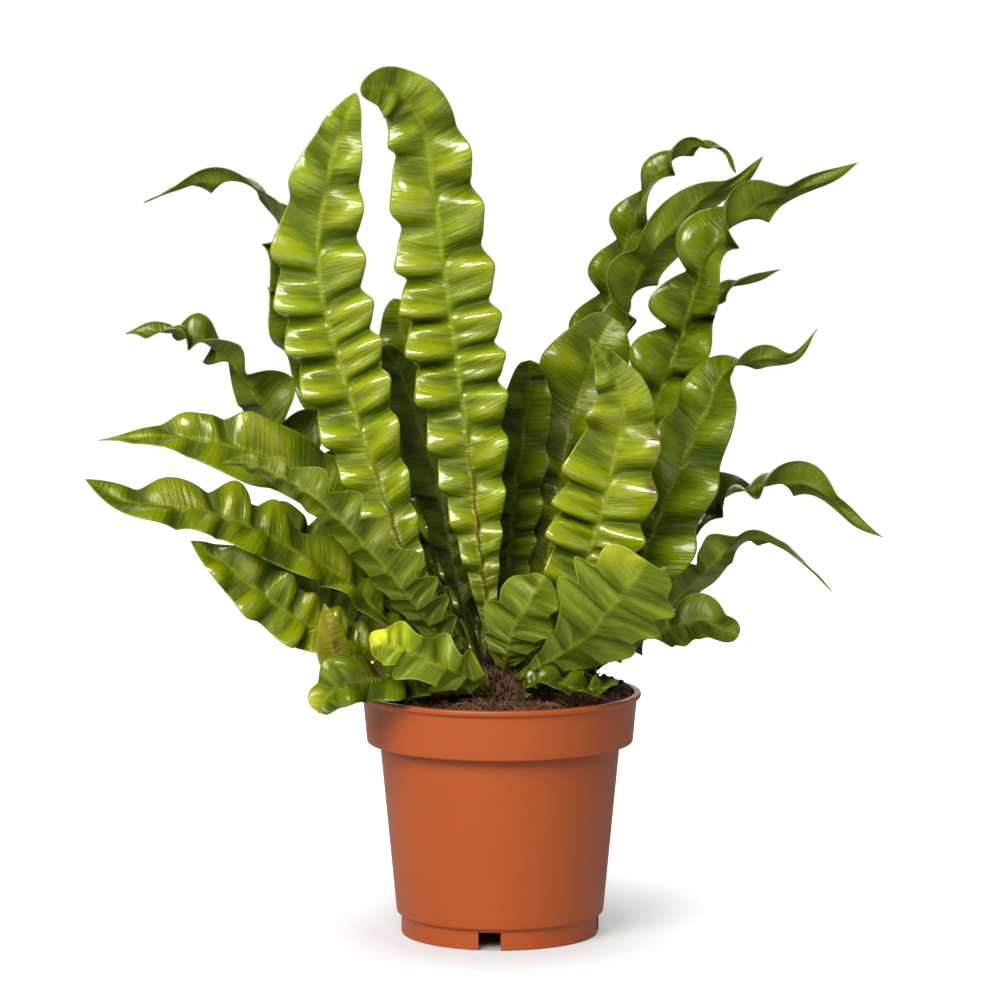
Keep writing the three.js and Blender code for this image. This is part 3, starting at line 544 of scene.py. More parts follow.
# The outline is drawn in by this share, so that the finer pleats stay within the solids' reach.
INSET = 0.975
FROND_DEFAULTS = dict(phase=(0.8, 2.2), belly=0.55, tip=0.9, cup=0.12, skew=1, hook=1, curl=0.15,
                      lobe=0.12, widening=1.15, slot="frond_dark", tone_and_painted_light=1.0, spots=(), glow=(), base=0)
# A frond's shade scales its colour. It is partly the frond's own tone and partly painted light and shade:
# fronds seen in the gaps deep among the others are darkened as if shaded, and some that others shade are
# lightened.
FRONDS = dict(inner=[
    dict(name="frond_tall_left", azimuth=165, turn=60, half=0.0225, waves=16, wave=0.005,
         phase=(0, 2.6), belly=0.66, tip=0.7, cup=0.04, skew=1.3, hook=0.8, widening=1.3,
         slot="frond_green", tone_and_painted_light=1.04, base=1, path=[(-0.039, -0.002, 0.171, 10),
         (-0.055, 0.002, 0.21, 5), (-0.073, 0.006, 0.263, 0), (-0.089, 0.004, 0.327, 0),
         (-0.083, -0.004, 0.379, 0), (-0.07, -0.012, 0.416, 0)]),
    dict(name="frond_tall_middle", azimuth=105, turn=10, half=0.023, waves=16,
         wave=0.0055, phase=(0.5, 3.3), belly=0.55, tip=0.48, cup=0.04, skew=0.6, slot="frond_green",
         base=1, path=[(-0.008, 0.006, 0.175, 0), (-0.015, 0.006, 0.238, 0), (-0.024, 0.004, 0.305, 0),
         (-0.03, -0.001, 0.353, 0), (-0.033, -0.004, 0.374, 0), (-0.035, -0.007, 0.389, 0),
         (-0.039, -0.011, 0.403, 0), (-0.046, -0.018, 0.413, -5), (-0.055, -0.028, 0.4185, -10),
         (-0.067, -0.04, 0.418, -15)]),
    dict(name="frond_broad_right", azimuth=45, turn=-40, half=0.023, waves=11,
         wave=0.0045, phase=(1.2, 4), belly=0.53, tip=1.05, skew=1.2, hook=0.8, slot="frond_green",
         spots=((0.74, -0.75, 0.005), (0.72, 0.85, 0.004), (0.6, 0.9, 0.003), (0.86, 0.7, 0.003),),
         path=[(0.033, -0.01, 0.161, -5), (0.047, -0.018, 0.201, -5), (0.056, -0.022, 0.237, -5),
         (0.06, -0.026, 0.264, -5), (0.053, -0.032, 0.283, 0), (0.043, -0.04, 0.298, 20)]),
    dict(name="frond_short_front", azimuth=285, turn=175, half=0.016, waves=6,
         wave=0.0028, phase=(0, 1.5), belly=0.6, tip=0.5, hook=0.3, lobe=0.18, widening=1.4,
         slot="frond_pale", tone_and_painted_light=1.3, path=[(0.003, -0.021, 0.14, 175), (0.007, -0.029, 0.156, 175),
         (0.014, -0.033, 0.169, 178), (0.022, -0.032, 0.182, 180)]),
    dict(name="frond_arched_right", azimuth=345, turn=-70, half=0.023, waves=9,
         wave=0.004, belly=0.42, tip=1.4, skew=1.5, hook=0.5, widening=1.7,
         tone_and_painted_light=1.08, path=[(0.049, -0.004, 0.149, -15), (0.069, 0, 0.184, -15),
         (0.08, 0.002, 0.211, -15), (0.093, 0.002, 0.24, -15), (0.103, 0.002, 0.263, -20),
         (0.111, 0, 0.28, -60), (0.128, -0.004, 0.286, -140), (0.145, -0.004, 0.287, -150),
         (0.156, -0.004, 0.301, -150)]),
    dict(name="frond_pale_left", azimuth=235, turn=130, half=0.013, waves=14, wave=0.004,
         phase=(0.8, 3), belly=0.42, tip=0.8, cup=0.3, hook=0.3, lobe=0.25, slot="frond_pale",
         tone_and_painted_light=0.88, path=[(-0.023, -0.024, 0.143, 150), (-0.038, -0.038, 0.164, 155),
         (-0.052, -0.046, 0.183, 155), (-0.07, -0.05, 0.204, 155), (-0.088, -0.05, 0.221, 155),
         (-0.106, -0.041, 0.231, 160), (-0.122, -0.028, 0.236, 165), (-0.136, -0.018, 0.236, 165)]),
], middle=[
    dict(name="frond_wide_front", azimuth=-72, turn=185, half=0.025, waves=8,
         wave=0.0036, phase=(0.8, 3), belly=0.74, tip=0.25, skew=1.1, hook=0.3, lobe=0.18, widening=1.9,
         slot="frond_pale", tone_and_painted_light=1.1, glow=((0.96, 0.9, 0.009), (0.99, 0.4, 0.006),), path=[
         (0.02, -0.028, 0.137, 185), (0.034, -0.04, 0.147, 183), (0.043, -0.052, 0.155, 183),
         (0.05, -0.062, 0.166, 183), (0.059, -0.07, 0.178, 183), (0.07, -0.076, 0.194, 183)]),
    dict(name="frond_low_right", azimuth=-43, turn=-80, half=0.013, waves=9, wave=0.005,
         belly=0.45, tip=0.35, hook=0.4, lobe=0.2, path=[(0.02, -0.017, 0.129, -60),
         (0.037, -0.019, 0.133, -70), (0.052, -0.023, 0.139, -80), (0.068, -0.028, 0.149, -120),
         (0.085, -0.031, 0.157, -165), (0.101, -0.032, 0.16, -168), (0.116, -0.033, 0.152, -160)]),
    dict(name="frond_long_right", azimuth=-12, turn=-80, half=0.015, waves=9, wave=0.006,
         phase=(0.8, 3.9), belly=0.45, tip=1.1, hook=0.3, lobe=0.2, widening=1.5,
         path=[(0.053, 0.014, 0.147, -60), (0.077, 0.026, 0.179, -60), (0.097, 0.028, 0.202, -60),
         (0.115, 0.022, 0.217, -70), (0.13, 0.016, 0.221, -90), (0.145, 0.01, 0.224, -125),
         (0.16, 0.006, 0.219, -145), (0.176, 0.002, 0.205, -150), (0.19, 0, 0.197, -150)]),
    dict(name="frond_curly_right_1", azimuth=20, turn=-60, half=0.016, waves=11,
         wave=0.01, phase=(0.8, 3.9), belly=0.55, tip=0.95, hook=0.2, curl=0.3, lobe=0.28,
         path=[(0.05, 0.016, 0.175, -20), (0.07, 0.023, 0.239, -20),
         (0.082, 0.024, 0.272, -20), (0.091, 0.024, 0.296, -20), (0.098, 0.02, 0.321, -20),
         (0.108, 0.016, 0.344, -60), (0.124, 0.012, 0.36, -125), (0.145, 0.01, 0.368, -150),
         (0.165, 0.008, 0.376, -150), (0.176, 0.006, 0.382, -150)]),
    dict(name="frond_broad_behind", azimuth=52, turn=-30, half=0.029, waves=7,
         wave=0.0055, phase=(0.8, 3.4), belly=0.55, tip=0.42, cup=0.1, hook=0.5, slot="frond_green",
         tone_and_painted_light=0.75, path=[(0.02, 0.028, 0.16, -15), (0.027, 0.04, 0.202, -10),
         (0.036, 0.046, 0.247, -5), (0.046, 0.048, 0.28, -5), (0.053, 0.048, 0.296, -5),
         (0.058, 0.049, 0.304, -10)]),
    dict(name="frond_narrow_middle", azimuth=86, turn=0, half=0.014, waves=9, wave=0.003,
         belly=0.6, tip=0.3, cup=0.5, tone_and_painted_light=0.5, path=[(0.003, 0.022, 0.164, 0),
         (0.007, 0.03, 0.213, 0), (0.012, 0.03, 0.248, 0), (0.014, 0.028, 0.266, 0),
         (0.015, 0.022, 0.284, 0)]),
    dict(name="frond_dark_behind", azimuth=118, turn=40, half=0.014, waves=8, wave=0.004,
         belly=0.6, tip=0.6, tone_and_painted_light=0.47, path=[(-0.019, 0.018, 0.164, 120),
         (-0.032, 0.028, 0.223, 160), (-0.044, 0.034, 0.261, 170), (-0.053, 0.032, 0.282, 180),
         (-0.058, 0.026, 0.291, 190)]),
    dict(name="frond_twisted_left", azimuth=154, turn=75, half=0.014, waves=13,
         wave=0.009, phase=(0.8, 3.9), belly=0.6, tip=0.8, hook=0.3, curl=0.3, lobe=0.3,
         path=[(-0.035, 0.026, 0.153, 100), (-0.058, 0.042, 0.189, 130),
         (-0.078, 0.042, 0.211, 150), (-0.097, 0.034, 0.229, 160), (-0.112, 0.024, 0.252, 160),
         (-0.125, 0.018, 0.272, 150), (-0.137, 0.012, 0.286, 110), (-0.151, 0.008, 0.296, 75),
         (-0.17, 0.004, 0.299, 60), (-0.185, 0.004, 0.298, 60)]),
    dict(name="frond_long_left_1", azimuth=180, turn=85, half=0.018, waves=8, wave=0.003,
         belly=0.64, tip=1.5, slot="frond_green", tone_and_painted_light=0.82, path=[(-0.034, 0.01, 0.146, 70),
         (-0.053, 0.021, 0.184, 50), (-0.078, 0.022, 0.213, 40), (-0.098, 0.014, 0.229, 30),
         (-0.118, 0.004, 0.238, 30), (-0.141, -0.002, 0.245, 30), (-0.165, -0.004, 0.248, 40),
         (-0.198, -0.006, 0.246, 50)]),
    dict(name="frond_inner_left_1", azimuth=205, turn=85, half=0.014, waves=8,
         wave=0.004, belly=0.6, tip=0.9, path=[(-0.035, -0.002, 0.142, 60),
         (-0.06, -0.001, 0.174, 55), (-0.085, -0.004, 0.191, 50), (-0.114, 0.002, 0.206, 50),
         (-0.139, 0.002, 0.214, 50)]),
    dict(name="frond_long_left_2", azimuth=228, turn=90, half=0.0165, waves=10,
         wave=0.0036, phase=(0.8, 3.6), belly=0.66, tip=0.85, cup=0.1, hook=0.4, lobe=0.15,
         slot="frond_green", tone_and_painted_light=0.66, path=[(-0.034, -0.016, 0.138, 80), (-0.055, -0.023, 0.158, 70),
         (-0.076, -0.026, 0.18, 55), (-0.097, -0.034, 0.193, 50), (-0.118, -0.045, 0.206, 48),
         (-0.144, -0.05, 0.216, 45), (-0.177, -0.054, 0.22, 45), (-0.199, -0.054, 0.231, 50)]),
], outer=[
    dict(name="frond_drooping_right", azimuth=-18, turn=-80, half=0.013, waves=8,
         wave=0.003, belly=0.45, tip=1, lobe=0.2, widening=1.8, slot="frond_pale", path=[
         (0.061, 0.009, 0.139, -90), (0.082, 0.011, 0.16, -120), (0.102, 0.006, 0.18, -140),
         (0.121, 0.002, 0.197, -120), (0.138, -0.002, 0.193, -100), (0.152, -0.006, 0.183, -95),
         (0.164, -0.008, 0.171, -90)]),
    dict(name="frond_curly_right_2", azimuth=22, turn=-60, half=0.014, waves=10,
         wave=0.008, phase=(0.8, 3.9), belly=0.55, tip=1.1, hook=0.2, curl=0.3, lobe=0.25, widening=1.6,
         path=[(0.059, 0.044, 0.166, -40), (0.08, 0.06, 0.226, -50),
         (0.095, 0.066, 0.271, -60), (0.101, 0.064, 0.299, -60), (0.112, 0.06, 0.316, -85),
         (0.127, 0.056, 0.322, -120), (0.142, 0.054, 0.328, -130)]),
    dict(name="frond_curly_right_3", azimuth=42, turn=-45, half=0.014, waves=11,
         wave=0.0065, phase=(0.8, 3.9), belly=0.6, tip=0.9, hook=0.2, curl=0.3, lobe=0.2,
         path=[(0.033, 0.044, 0.166, -30), (0.054, 0.07, 0.23, -30),
         (0.063, 0.076, 0.286, -60), (0.067, 0.07, 0.316, -120), (0.076, 0.06, 0.334, -165),
         (0.088, 0.05, 0.35, -175), (0.104, 0.04, 0.365, -170), (0.12, 0.032, 0.373, -160),
         (0.131, 0.028, 0.385, -150)]),
    dict(name="frond_curly_right_4", azimuth=62, turn=-30, half=0.012, waves=17,
         wave=0.007, phase=(0.8, 3.9), belly=0.5, tip=0.7, hook=0.2, curl=0.3, lobe=0.3,
         path=[(0.024, 0.058, 0.159, -20), (0.041, 0.1, 0.233, -20),
         (0.052, 0.116, 0.289, -20), (0.06, 0.114, 0.32, -20), (0.07, 0.106, 0.352, -30),
         (0.082, 0.096, 0.376, -60), (0.098, 0.088, 0.389, -100), (0.113, 0.084, 0.388, -110),
         (0.121, 0.084, 0.376, -110)]),
    dict(name="frond_back_low", azimuth=78, turn=0, half=0.02, waves=8, wave=0.005,
         belly=0.6, slot="frond_green", path=[(0.004, 0.06, 0.154, -10), (0.007, 0.11, 0.178, -10),
         (0.012, 0.16, 0.19, -10), (0.016, 0.2, 0.175, -10)]),
    dict(name="frond_back_middle", azimuth=95, turn=0, half=0.02, waves=8, wave=0.005,
         belly=0.6, slot="frond_green", path=[(-0.005, 0.05, 0.165, 10), (-0.013, 0.086, 0.218, 10),
         (-0.02, 0.116, 0.251, 10), (-0.026, 0.146, 0.254, 10)]),
    dict(name="frond_bright_behind", azimuth=112, turn=10, half=0.022, waves=9,
         wave=0.004, belly=0.65, tip=0.6, slot="frond_green", tone_and_painted_light=1.3, path=[(-0.014, 0.036, 0.162, 0),
         (-0.027, 0.056, 0.221, 0), (-0.043, 0.062, 0.271, 0), (-0.054, 0.062, 0.313, 0)]),
    dict(name="frond_back_left", azimuth=129, turn=20, half=0.02, waves=8, wave=0.005,
         belly=0.6, slot="frond_green", path=[(-0.031, 0.058, 0.163, 20), (-0.054, 0.102, 0.204, 20),
         (-0.074, 0.134, 0.23, 20), (-0.09, 0.164, 0.226, 20)]),
    dict(name="frond_curly_left", azimuth=146, turn=50, half=0.013, waves=13, wave=0.007,
         phase=(0.8, 3.9), belly=0.62, tip=0.9, hook=0.3, curl=0.3, lobe=0.25, path=[
         (-0.026, 0.036, 0.159, 50), (-0.057, 0.068, 0.215, 20), (-0.088, 0.072, 0.263, 10),
         (-0.103, 0.066, 0.297, 10), (-0.108, 0.052, 0.332, 30), (-0.111, 0.042, 0.352, 70),
         (-0.117, 0.034, 0.364, 100), (-0.127, 0.028, 0.372, 115), (-0.144, 0.023, 0.373, 115),
         (-0.162, 0.02, 0.368, 110), (-0.177, 0.02, 0.362, 105)]),
    dict(name="frond_inner_left_2", azimuth=164, turn=85, half=0.014, waves=7, wave=0.004,
         belly=0.6, tip=0.7, path=[(-0.035, 0.016, 0.139, 70),
         (-0.075, 0.03, 0.162, 60), (-0.105, 0.028, 0.18, 60), (-0.132, 0.022, 0.193, 60)]),
    dict(name="frond_small_left", azimuth=183, turn=85, half=0.011, waves=6, wave=0.0035,
         belly=0.65, tip=0.6, slot="frond_pale", path=[(-0.036, 0.002, 0.135, 80),
         (-0.063, -0.002, 0.15, 120), (-0.089, -0.012, 0.167, 160), (-0.106, -0.026, 0.181, 180),
         (-0.119, -0.03, 0.186, 180)]),
    dict(name="frond_low_left", azimuth=201, turn=90, half=0.0145, waves=10, wave=0.004,
         phase=(0.8, 3), belly=0.68, hook=0.6, slot="frond_green", tone_and_painted_light=0.85, path=[
         (-0.039, -0.014, 0.134, 70), (-0.061, -0.02, 0.143, 60), (-0.079, -0.026, 0.151, 40),
         (-0.095, -0.032, 0.158, 25), (-0.111, -0.04, 0.171, 20), (-0.129, -0.046, 0.186, 20),
         (-0.149, -0.05, 0.201, 20)]),
    dict(name="frond_yellow_left", azimuth=219, turn=100, half=0.01, waves=3, wave=0.002,
         belly=0.7, tip=1, slot="frond_yellow",
         spots=((0.55, 0.2, 0.006), (0.7, -0.3, 0.004), (0.8, 0.3, 0.003),), path=[
         (-0.037, -0.028, 0.127, 80), (-0.056, -0.036, 0.128, 80), (-0.072, -0.042, 0.131, 60),
         (-0.08, -0.044, 0.145, 20), (-0.085, -0.044, 0.17, 10)]),
    dict(name="frond_over_rim", azimuth=238, turn=110, half=0.014, waves=6, wave=0.005,
         belly=0.62, tip=0.4, hook=0.5, lobe=0.2, widening=1.4,
         spots=((0.62, 0.5, 0.006), (0.75, 0.1, 0.004),), glow=((0.97, 0.6, 0.008),), path=[
         (-0.028, -0.033, 0.129, 50), (-0.043, -0.042, 0.133, 38), (-0.057, -0.05, 0.134, 40),
         (-0.072, -0.056, 0.133, 30), (-0.082, -0.06, 0.128, 20), (-0.087, -0.062, 0.119, 10)]),
    dict(name="frond_curled_front", azimuth=260, turn=130, half=0.013, waves=6,
         wave=0.006, phase=(0.8, 3.4), belly=0.62, tip=0.35, hook=0.5, lobe=0.25, widening=1.5,
         slot="frond_pale", tone_and_painted_light=1.75, glow=((0.93, -0.7, 0.008),), path=[(-0.013, -0.042, 0.132, 170),
         (-0.026, -0.057, 0.14, 185), (-0.041, -0.065, 0.148, 190), (-0.054, -0.069, 0.153, 190),
         (-0.062, -0.071, 0.152, 185)]),
    dict(name="frond_frilled_root", azimuth=-62, turn=-40, half=0.009, waves=6,
         wave=0.003, phase=(0.8, 3.4), belly=0.6, tip=0.4, hook=0.3, lobe=0.3, widening=0.8,
         path=[(0.018, -0.035, 0.13, -70), (0.031, -0.046, 0.13, -75),
         (0.045, -0.051, 0.129, -75), (0.057, -0.051, 0.132, -70)]),
])
BROWN = (0.100, 0.042, 0.014, 1)
YELLOW = (0.480, 0.500, 0.020, 1)
# Each set is the upper face's dark and light, the under face's dark and light, and the rib's colour.
LEAF_COLOURS = {
    "frond_green": ((0.075, 0.115, 0.0008, 1), (0.285, 0.340, 0.0020, 1), (0.070, 0.105, 0.003, 1),
                    (0.160, 0.210, 0.007, 1), (0.270, 0.310, 0.003, 1)),
    "frond_dark": ((0.035, 0.062, 0.0008, 1), (0.135, 0.185, 0.0014, 1), (0.050, 0.082, 0.002, 1),
                   (0.130, 0.175, 0.007, 1), (0.150, 0.190, 0.006, 1)),
    "frond_pale": ((0.095, 0.135, 0.002, 1), (0.225, 0.265, 0.004, 1), (0.075, 0.112, 0.003, 1),
                   (0.180, 0.225, 0.008, 1), (0.225, 0.235, 0.010, 1)),
    "frond_yellow": ((0.170, 0.170, 0.006, 1), (0.300, 0.270, 0.010, 1), (0.150, 0.145, 0.012, 1),
                     (0.260, 0.240, 0.022, 1), (0.270, 0.220, 0.025, 1)),
}
VEIN_SLOPE = 0.3
VEINS = dict(pitch=0.0011, stretch=45.0, detail=2.0)
FOLDS = dict(pitch=0.0019, stretch=70.0, detail=3.0)
# Shares in the leaf's colour of its own veins, folds and blotches, and of the pleat, which paints shade
# into the valleys and light onto the crests.
PATTERN_AND_PAINTED_SHADE = dict(veins=0.30, folds=0.35, blotches=0.55, pleat=0.34)
LIGHT_STRETCH = (0.46, 0.84)
RIB_LINE = (0.0018, 0.0007)
RIB_STRENGTH = 0.6
EDGE_LINE = (0.0008, 0.0003)
EDGE_STRENGTH = 0.7
BASE_LINE = (0.0010, 0.0004)
BASE_LINE_END = (0.14, 0.08)
FLECK_STRETCH = (0.42, 0.60)
GLOW_STRENGTH = 0.8
# Painted shade: each blade is darkened towards its root, near the crown, where the other fronds shade it.
PAINTED_ROOT_SHADE = (0.02, 0.08, 0.62, 1.0)
FOLD_ROUGHNESS = (0.3, 0.7, 0.16, 0.30)
VALLEY_ROUGHNESS = (0.2, -0.5, 0.0, 0.35)
UNDER_ROUGHNESS = 0.2
WAX_ON_CRESTS = (-0.1, 0.4)
WAX_ON_FOLDS = (0.40, 0.56)
WAX_UNDER = (1.0, 0.0, 0.2, 1.0)
WAX_FADE = (0.6, 1.0, 0.1, 1.0)
VEIN_HEIGHT = 0.25
PORE_HEIGHT = 0.05
SHEEN = dict(frond_green=0.5, frond_dark=0.33, frond_pale=0.45, frond_yellow=0.4)
WAX_IOR = dict(frond_green=1.8, frond_dark=1.52, frond_pale=1.7, frond_yellow=1.6)


def smooth_path(points, samples=1200):
    """A smooth curve through the points, its ends running straight on."""
    points = np.array(points, float)
    padded = np.vstack([2 * points[0] - points[1], points, 2 * points[-1] - points[-2]])
    place = np.linspace(0, len(points) - 1, samples)
    first = np.minimum(place.astype(int), len(points) - 2)
    u = (place - first)[:, None]
    a, b, c, d = (padded[first + k] for k in range(4))
    return 0.5 * (2 * b + (c - a) * u + (2 * a - 5 * b + 4 * c - d) * u ** 2
                  + (3 * b - a - 3 * c + d) * u ** 3)


def unit(vectors):
    """The same directions, each brought to a length of one."""
    return vectors / np.maximum(np.linalg.norm(vectors, axis=-1, keepdims=True), 1e-12)


def rib_frames(row, shares):
    """Places and directions at shares of the rib's length: along it, up from the face, and across."""
    radius = ROOT_RING[row["ring"]]
    angle = math.radians(row["azimuth"])
    root = (radius * math.cos(angle), radius * math.sin(angle), dome_height(radius) - SOCKET_DEPTH,
            row["turn"])
    fine = smooth_path([root] + row["path"])
    travelled = np.concatenate([[0], np.cumsum(np.linalg.norm(np.diff(fine[:, :3], axis=0), axis=1))])
    places = [np.interp(shares * travelled[-1], travelled, fine[:, axis]) for axis in range(4)]
    place = np.stack(places[:3], axis=1)
    along = unit(np.stack([np.interp(shares * travelled[-1], travelled, np.gradient(fine[:, axis]))
                           for axis in range(3)], axis=1))
    turn = np.radians(places[3])[:, None]
    front = unit(np.array([0, -1, 0]) + along * along[:, 1:2])
    face = front * np.cos(turn) + np.cross(along, front) * np.sin(turn)
    return place, along, face, np.cross(along, face), travelled[-1]


def half_widths(row, s):
    """Half width along the blade: a stalk that widens to the belly, then narrows to the tip."""
    stalk = STALK_HALF_WIDTH / row["half"]
    growth = np.clip((s - STALK_END) / (row["belly"] - STALK_END), 0, 1)
    grown = np.sin(growth * math.pi / 2) ** row["widening"]
    past = np.clip((s - row["belly"]) / (1 - row["belly"]), 0, 1)
    narrowed = (1 - past ** 2) ** row["tip"]
    return row["half"] * np.where(s < row["belly"], stalk + (1 - stalk) * grown, narrowed)


def sway(s, seed, size, half_turns, seed_share=1, side=0):
    """A slow rise and fall along the blade, which starts elsewhere on each frond."""
    return size * np.sin(half_turns * math.pi * s + seed_share * seed + side)


def leaf_surface(row, s, t):
    """The blade's middle surface over shares of its length s and places across t, and its marks."""
    place, along, face, across, length = rib_frames(row, s)
    seed = row["seed"]
    s = s[:, None]
    side = np.where(t >= 0, 1.0, -1.0)
    out = np.abs(t)
    width = half_widths(row, s)
    drift = sway(s, seed, *SLOW_DRIFT) + sway(s, seed, *QUICK_DRIFT, side)
    start = np.where(t >= 0, row["phase"][1], row["phase"][0])
    angle = 2 * math.pi * row["waves"] * s ** BUNCHING + start - row["skew"] * out + drift
    fade = (width / row["half"]) ** NARROW_FADE * np.clip((s - WAVE_START) / ROOT_FADE, 0, 1)
    fade = fade * np.clip((1 - s) / TIP_FADE[0], 0, 1) ** TIP_FADE[1]
    height = row["wave"] * fade * (1 + sway(s, seed, *HEIGHT_SWAY, side))
    crest = np.sin(angle - STEEPNESS * side * row["hook"] * np.sin(angle))
    pillow = ((1 + crest) / 2) ** ROUNDNESS
    swell = np.sin(PILLOW_SWELL * math.pi * out) / math.sin(PILLOW_SWELL * math.pi)
    ripple = np.sin(2 * angle + RIPPLE_SIDE * side + sway(s, seed, *RIPPLE_SWAY))
    ripple = ripple * np.sin(math.pi * out ** RIPPLE_POWER)
    relief = pillow * swell - (1 - pillow) * out ** VALLEY_POWER + RIPPLE * ripple
    lift = height * relief + out * row["cup"] * width
    reach = INSET * width * t * (1 + row["lobe"] * crest * fade)
    travel = -height * row["curl"] * swell * np.cos(angle)
    surface = (place[:, None, :] + across[:, None, :] * reach[..., None]
               + face[:, None, :] * lift[..., None] + along[:, None, :] * travel[..., None])
    pleat = ((2 * pillow - 1) * swell + RIPPLE_MARK * ripple) * fade
    even = np.ones_like(reach)
    marks = dict(from_rib=reach, along=s * length + travel, to_edge=width * (1 - out), pleat=pleat,
                 seed=seed * even, tone_and_painted_light=row["tone_and_painted_light"] * even, base=row["base"] * even,
                 brown=0 * even, yellow=0 * even)
    for mark, spots in (("brown", row["spots"]), ("yellow", row["glow"])):
        for spot_s, spot_t, spot_radius in spots:
            away = np.hypot((s - spot_s) * length, (t - spot_t) * row["half"]) / spot_radius
            marks[mark] = np.maximum(marks[mark], np.exp(-away ** 2))
    return surface, face, marks


def leaf_thickness(row, s, t):
    """Half thickness: an even leaf with a rib along its middle, thinner at its edge."""
    shares, halves = zip(*RIB_HALF_THICKNESS)
    rib = np.interp(s, shares, halves)[:, None] - LEAF_HALF_THICKNESS
    away = t * half_widths(row, s[:, None]) / RIB_HALF_WIDTH
    return LEAF_HALF_THICKNESS * (1 - EDGE_THINNING * np.abs(t) ** 6) + rib * np.exp(-away ** 2)


def make_frond(row):
    """One closed blade: a grid wrapped round both faces, from edge to edge and back."""
    t = np.array([-value for value in reversed(COLUMNS[1:])] + list(COLUMNS))
    rows = max(LEAST_ROWS, int(ROWS_PER_WAVE * row["waves"]))
    s = np.linspace(0, 1, rows + 1)
    surface, face, marks = leaf_surface(row, s, t)
    normal = unit(np.cross(np.gradient(surface, axis=0), np.gradient(surface, axis=1)))
    facing = np.sign(np.sum(normal * face[:, None, :], axis=2).mean())
    normal *= facing
    offset = normal * leaf_thickness(row, s, t)[..., None]
    places = np.concatenate([surface + offset, (surface - offset)[:, ::-1]], axis=1)
    places = np.concatenate([places, places[:, :1]], axis=1)
    around = places.shape[1]
    shape = bmesh.new()
    layers = {key: shape.verts.layers.float.new(key) for key in (*marks, "under")}
    bmesh.ops.create_grid(shape, x_segments=around - 1, y_segments=rows, size=0.5)
    wrap = {key: np.concatenate([value, value[:, ::-1], value[:, :1]], axis=1)
            for key, value in marks.items()}
    wrap["under"] = np.zeros(places.shape[:2])
    wrap["under"][:, len(t):-1] = 1
    for vert in shape.verts:
        column = round((vert.co.x + 0.5) * (around - 1))
        line = round((vert.co.y + 0.5) * rows)
        for key, layer in layers.items():
            vert[layer] = wrap[key][line, column]
        vert.co = places[line, column]
    bmesh.ops.remove_doubles(shape, verts=shape.verts, dist=1e-6)
    bmesh.ops.holes_fill(shape, edges=[edge for edge in shape.edges if edge.is_boundary])
    bmesh.ops.recalc_face_normals(shape, faces=shape.faces)
    bmesh.ops.translate(shape, verts=shape.verts, vec=POT_CENTRE)
    return add_object(row["name"].replace("frond", "leaf", 1), to_mesh(row["name"], shape))


def read_mark(tree, name):
    """Reads one of the marks that leaf_surface leaves on each blade."""
    return add_node(tree, "ShaderNodeAttribute", attribute_name=name).outputs["Fac"]


def add_product(tree, first, second):
    """Adds a Math node that multiplies."""
    return add_sum(tree, "MULTIPLY", first, second)


def add_blend(tree, factor, first, second, mode="MIX"):
    """Adds a colour Mix node between two sockets or plain colours."""
    mix = add_node(tree, "ShaderNodeMix", data_type="RGBA", blend_type=mode)
    for socket, value in ((mix.inputs["Factor"], factor), (mix.inputs[6], first), (mix.inputs[7], second)):
        if isinstance(value, (int, float, tuple)):
            socket.default_value = value
        else:
            tree.links.new(value, socket)
    return mix.outputs[2]


leaf_group = bpy.data.node_groups.new("leaf_skin", "ShaderNodeTree")
for name in ("Upper Dark", "Upper Light", "Under Dark", "Under Light", "Rib"):
    leaf_group.interface.new_socket(name=name, in_out="INPUT", socket_type="NodeSocketColor")
for name, kind in (("Color", "NodeSocketColor"), ("Roughness", "NodeSocketFloat"),
                   ("Coat", "NodeSocketFloat"), ("Height", "NodeSocketFloat")):
    leaf_group.interface.new_socket(name=name, in_out="OUTPUT", socket_type=kind)
tree = leaf_group
given = add_node(tree, "NodeGroupInput")
given_out = add_node(tree, "NodeGroupOutput")
to_rib = read_mark(tree, "from_rib")
along = read_mark(tree, "along")
pleat = read_mark(tree, "pleat")
tone_and_painted_light = read_mark(tree, "tone_and_painted_light")
under = read_mark(tree, "under")
from_rib = add_sum(tree, "ABSOLUTE", to_rib, 0.0)
vein_place = add_sum(tree, "SUBTRACT", along, add_product(tree, from_rib, VEIN_SLOPE))


def add_streaks(pitch, stretch, detail):
    """Streaks that run from the rib to the edge, at a pitch along the blade."""
    vector = add_node(tree, "ShaderNodeCombineXYZ")
    tree.links.new(add_product(tree, vein_place, 1 / pitch), vector.inputs["X"])
    tree.links.new(add_product(tree, to_rib, stretch), vector.inputs["Y"])
    tree.links.new(read_mark(tree, "seed"), vector.inputs["Z"])
    streaks = add_node(tree, "ShaderNodeTexNoise", {"Scale": 1.0, "Detail": detail, "Roughness": 0.6})
    tree.links.new(vector.outputs["Vector"], streaks.inputs["Vector"])
    return streaks.outputs["Fac"]


def add_range(tree, value, low, high, to_low=0.0, to_high=1.0):
    """A Map Range node over one stretch of a value."""
    stretch = add_node(tree, "ShaderNodeMapRange", {"From Min": low, "From Max": high,
                                                    "To Min": to_low, "To Max": to_high})
    tree.links.new(value, stretch.inputs["Value"])
    return stretch.outputs["Result"]


veins = add_streaks(**VEINS)
folds = add_streaks(**FOLDS)
place = add_node(tree, "ShaderNodeTexCoord").outputs["Object"]
blotch_node = add_node(tree, "ShaderNodeTexNoise", {"Scale": 30.0, "Detail": 3.0})
pore_node = add_node(tree, "ShaderNodeTexNoise", {"Scale": 900.0, "Detail": 2.0})
tree.links.new(place, blotch_node.inputs["Vector"])
tree.links.new(place, pore_node.inputs["Vector"])
blotches = blotch_node.outputs["Fac"]

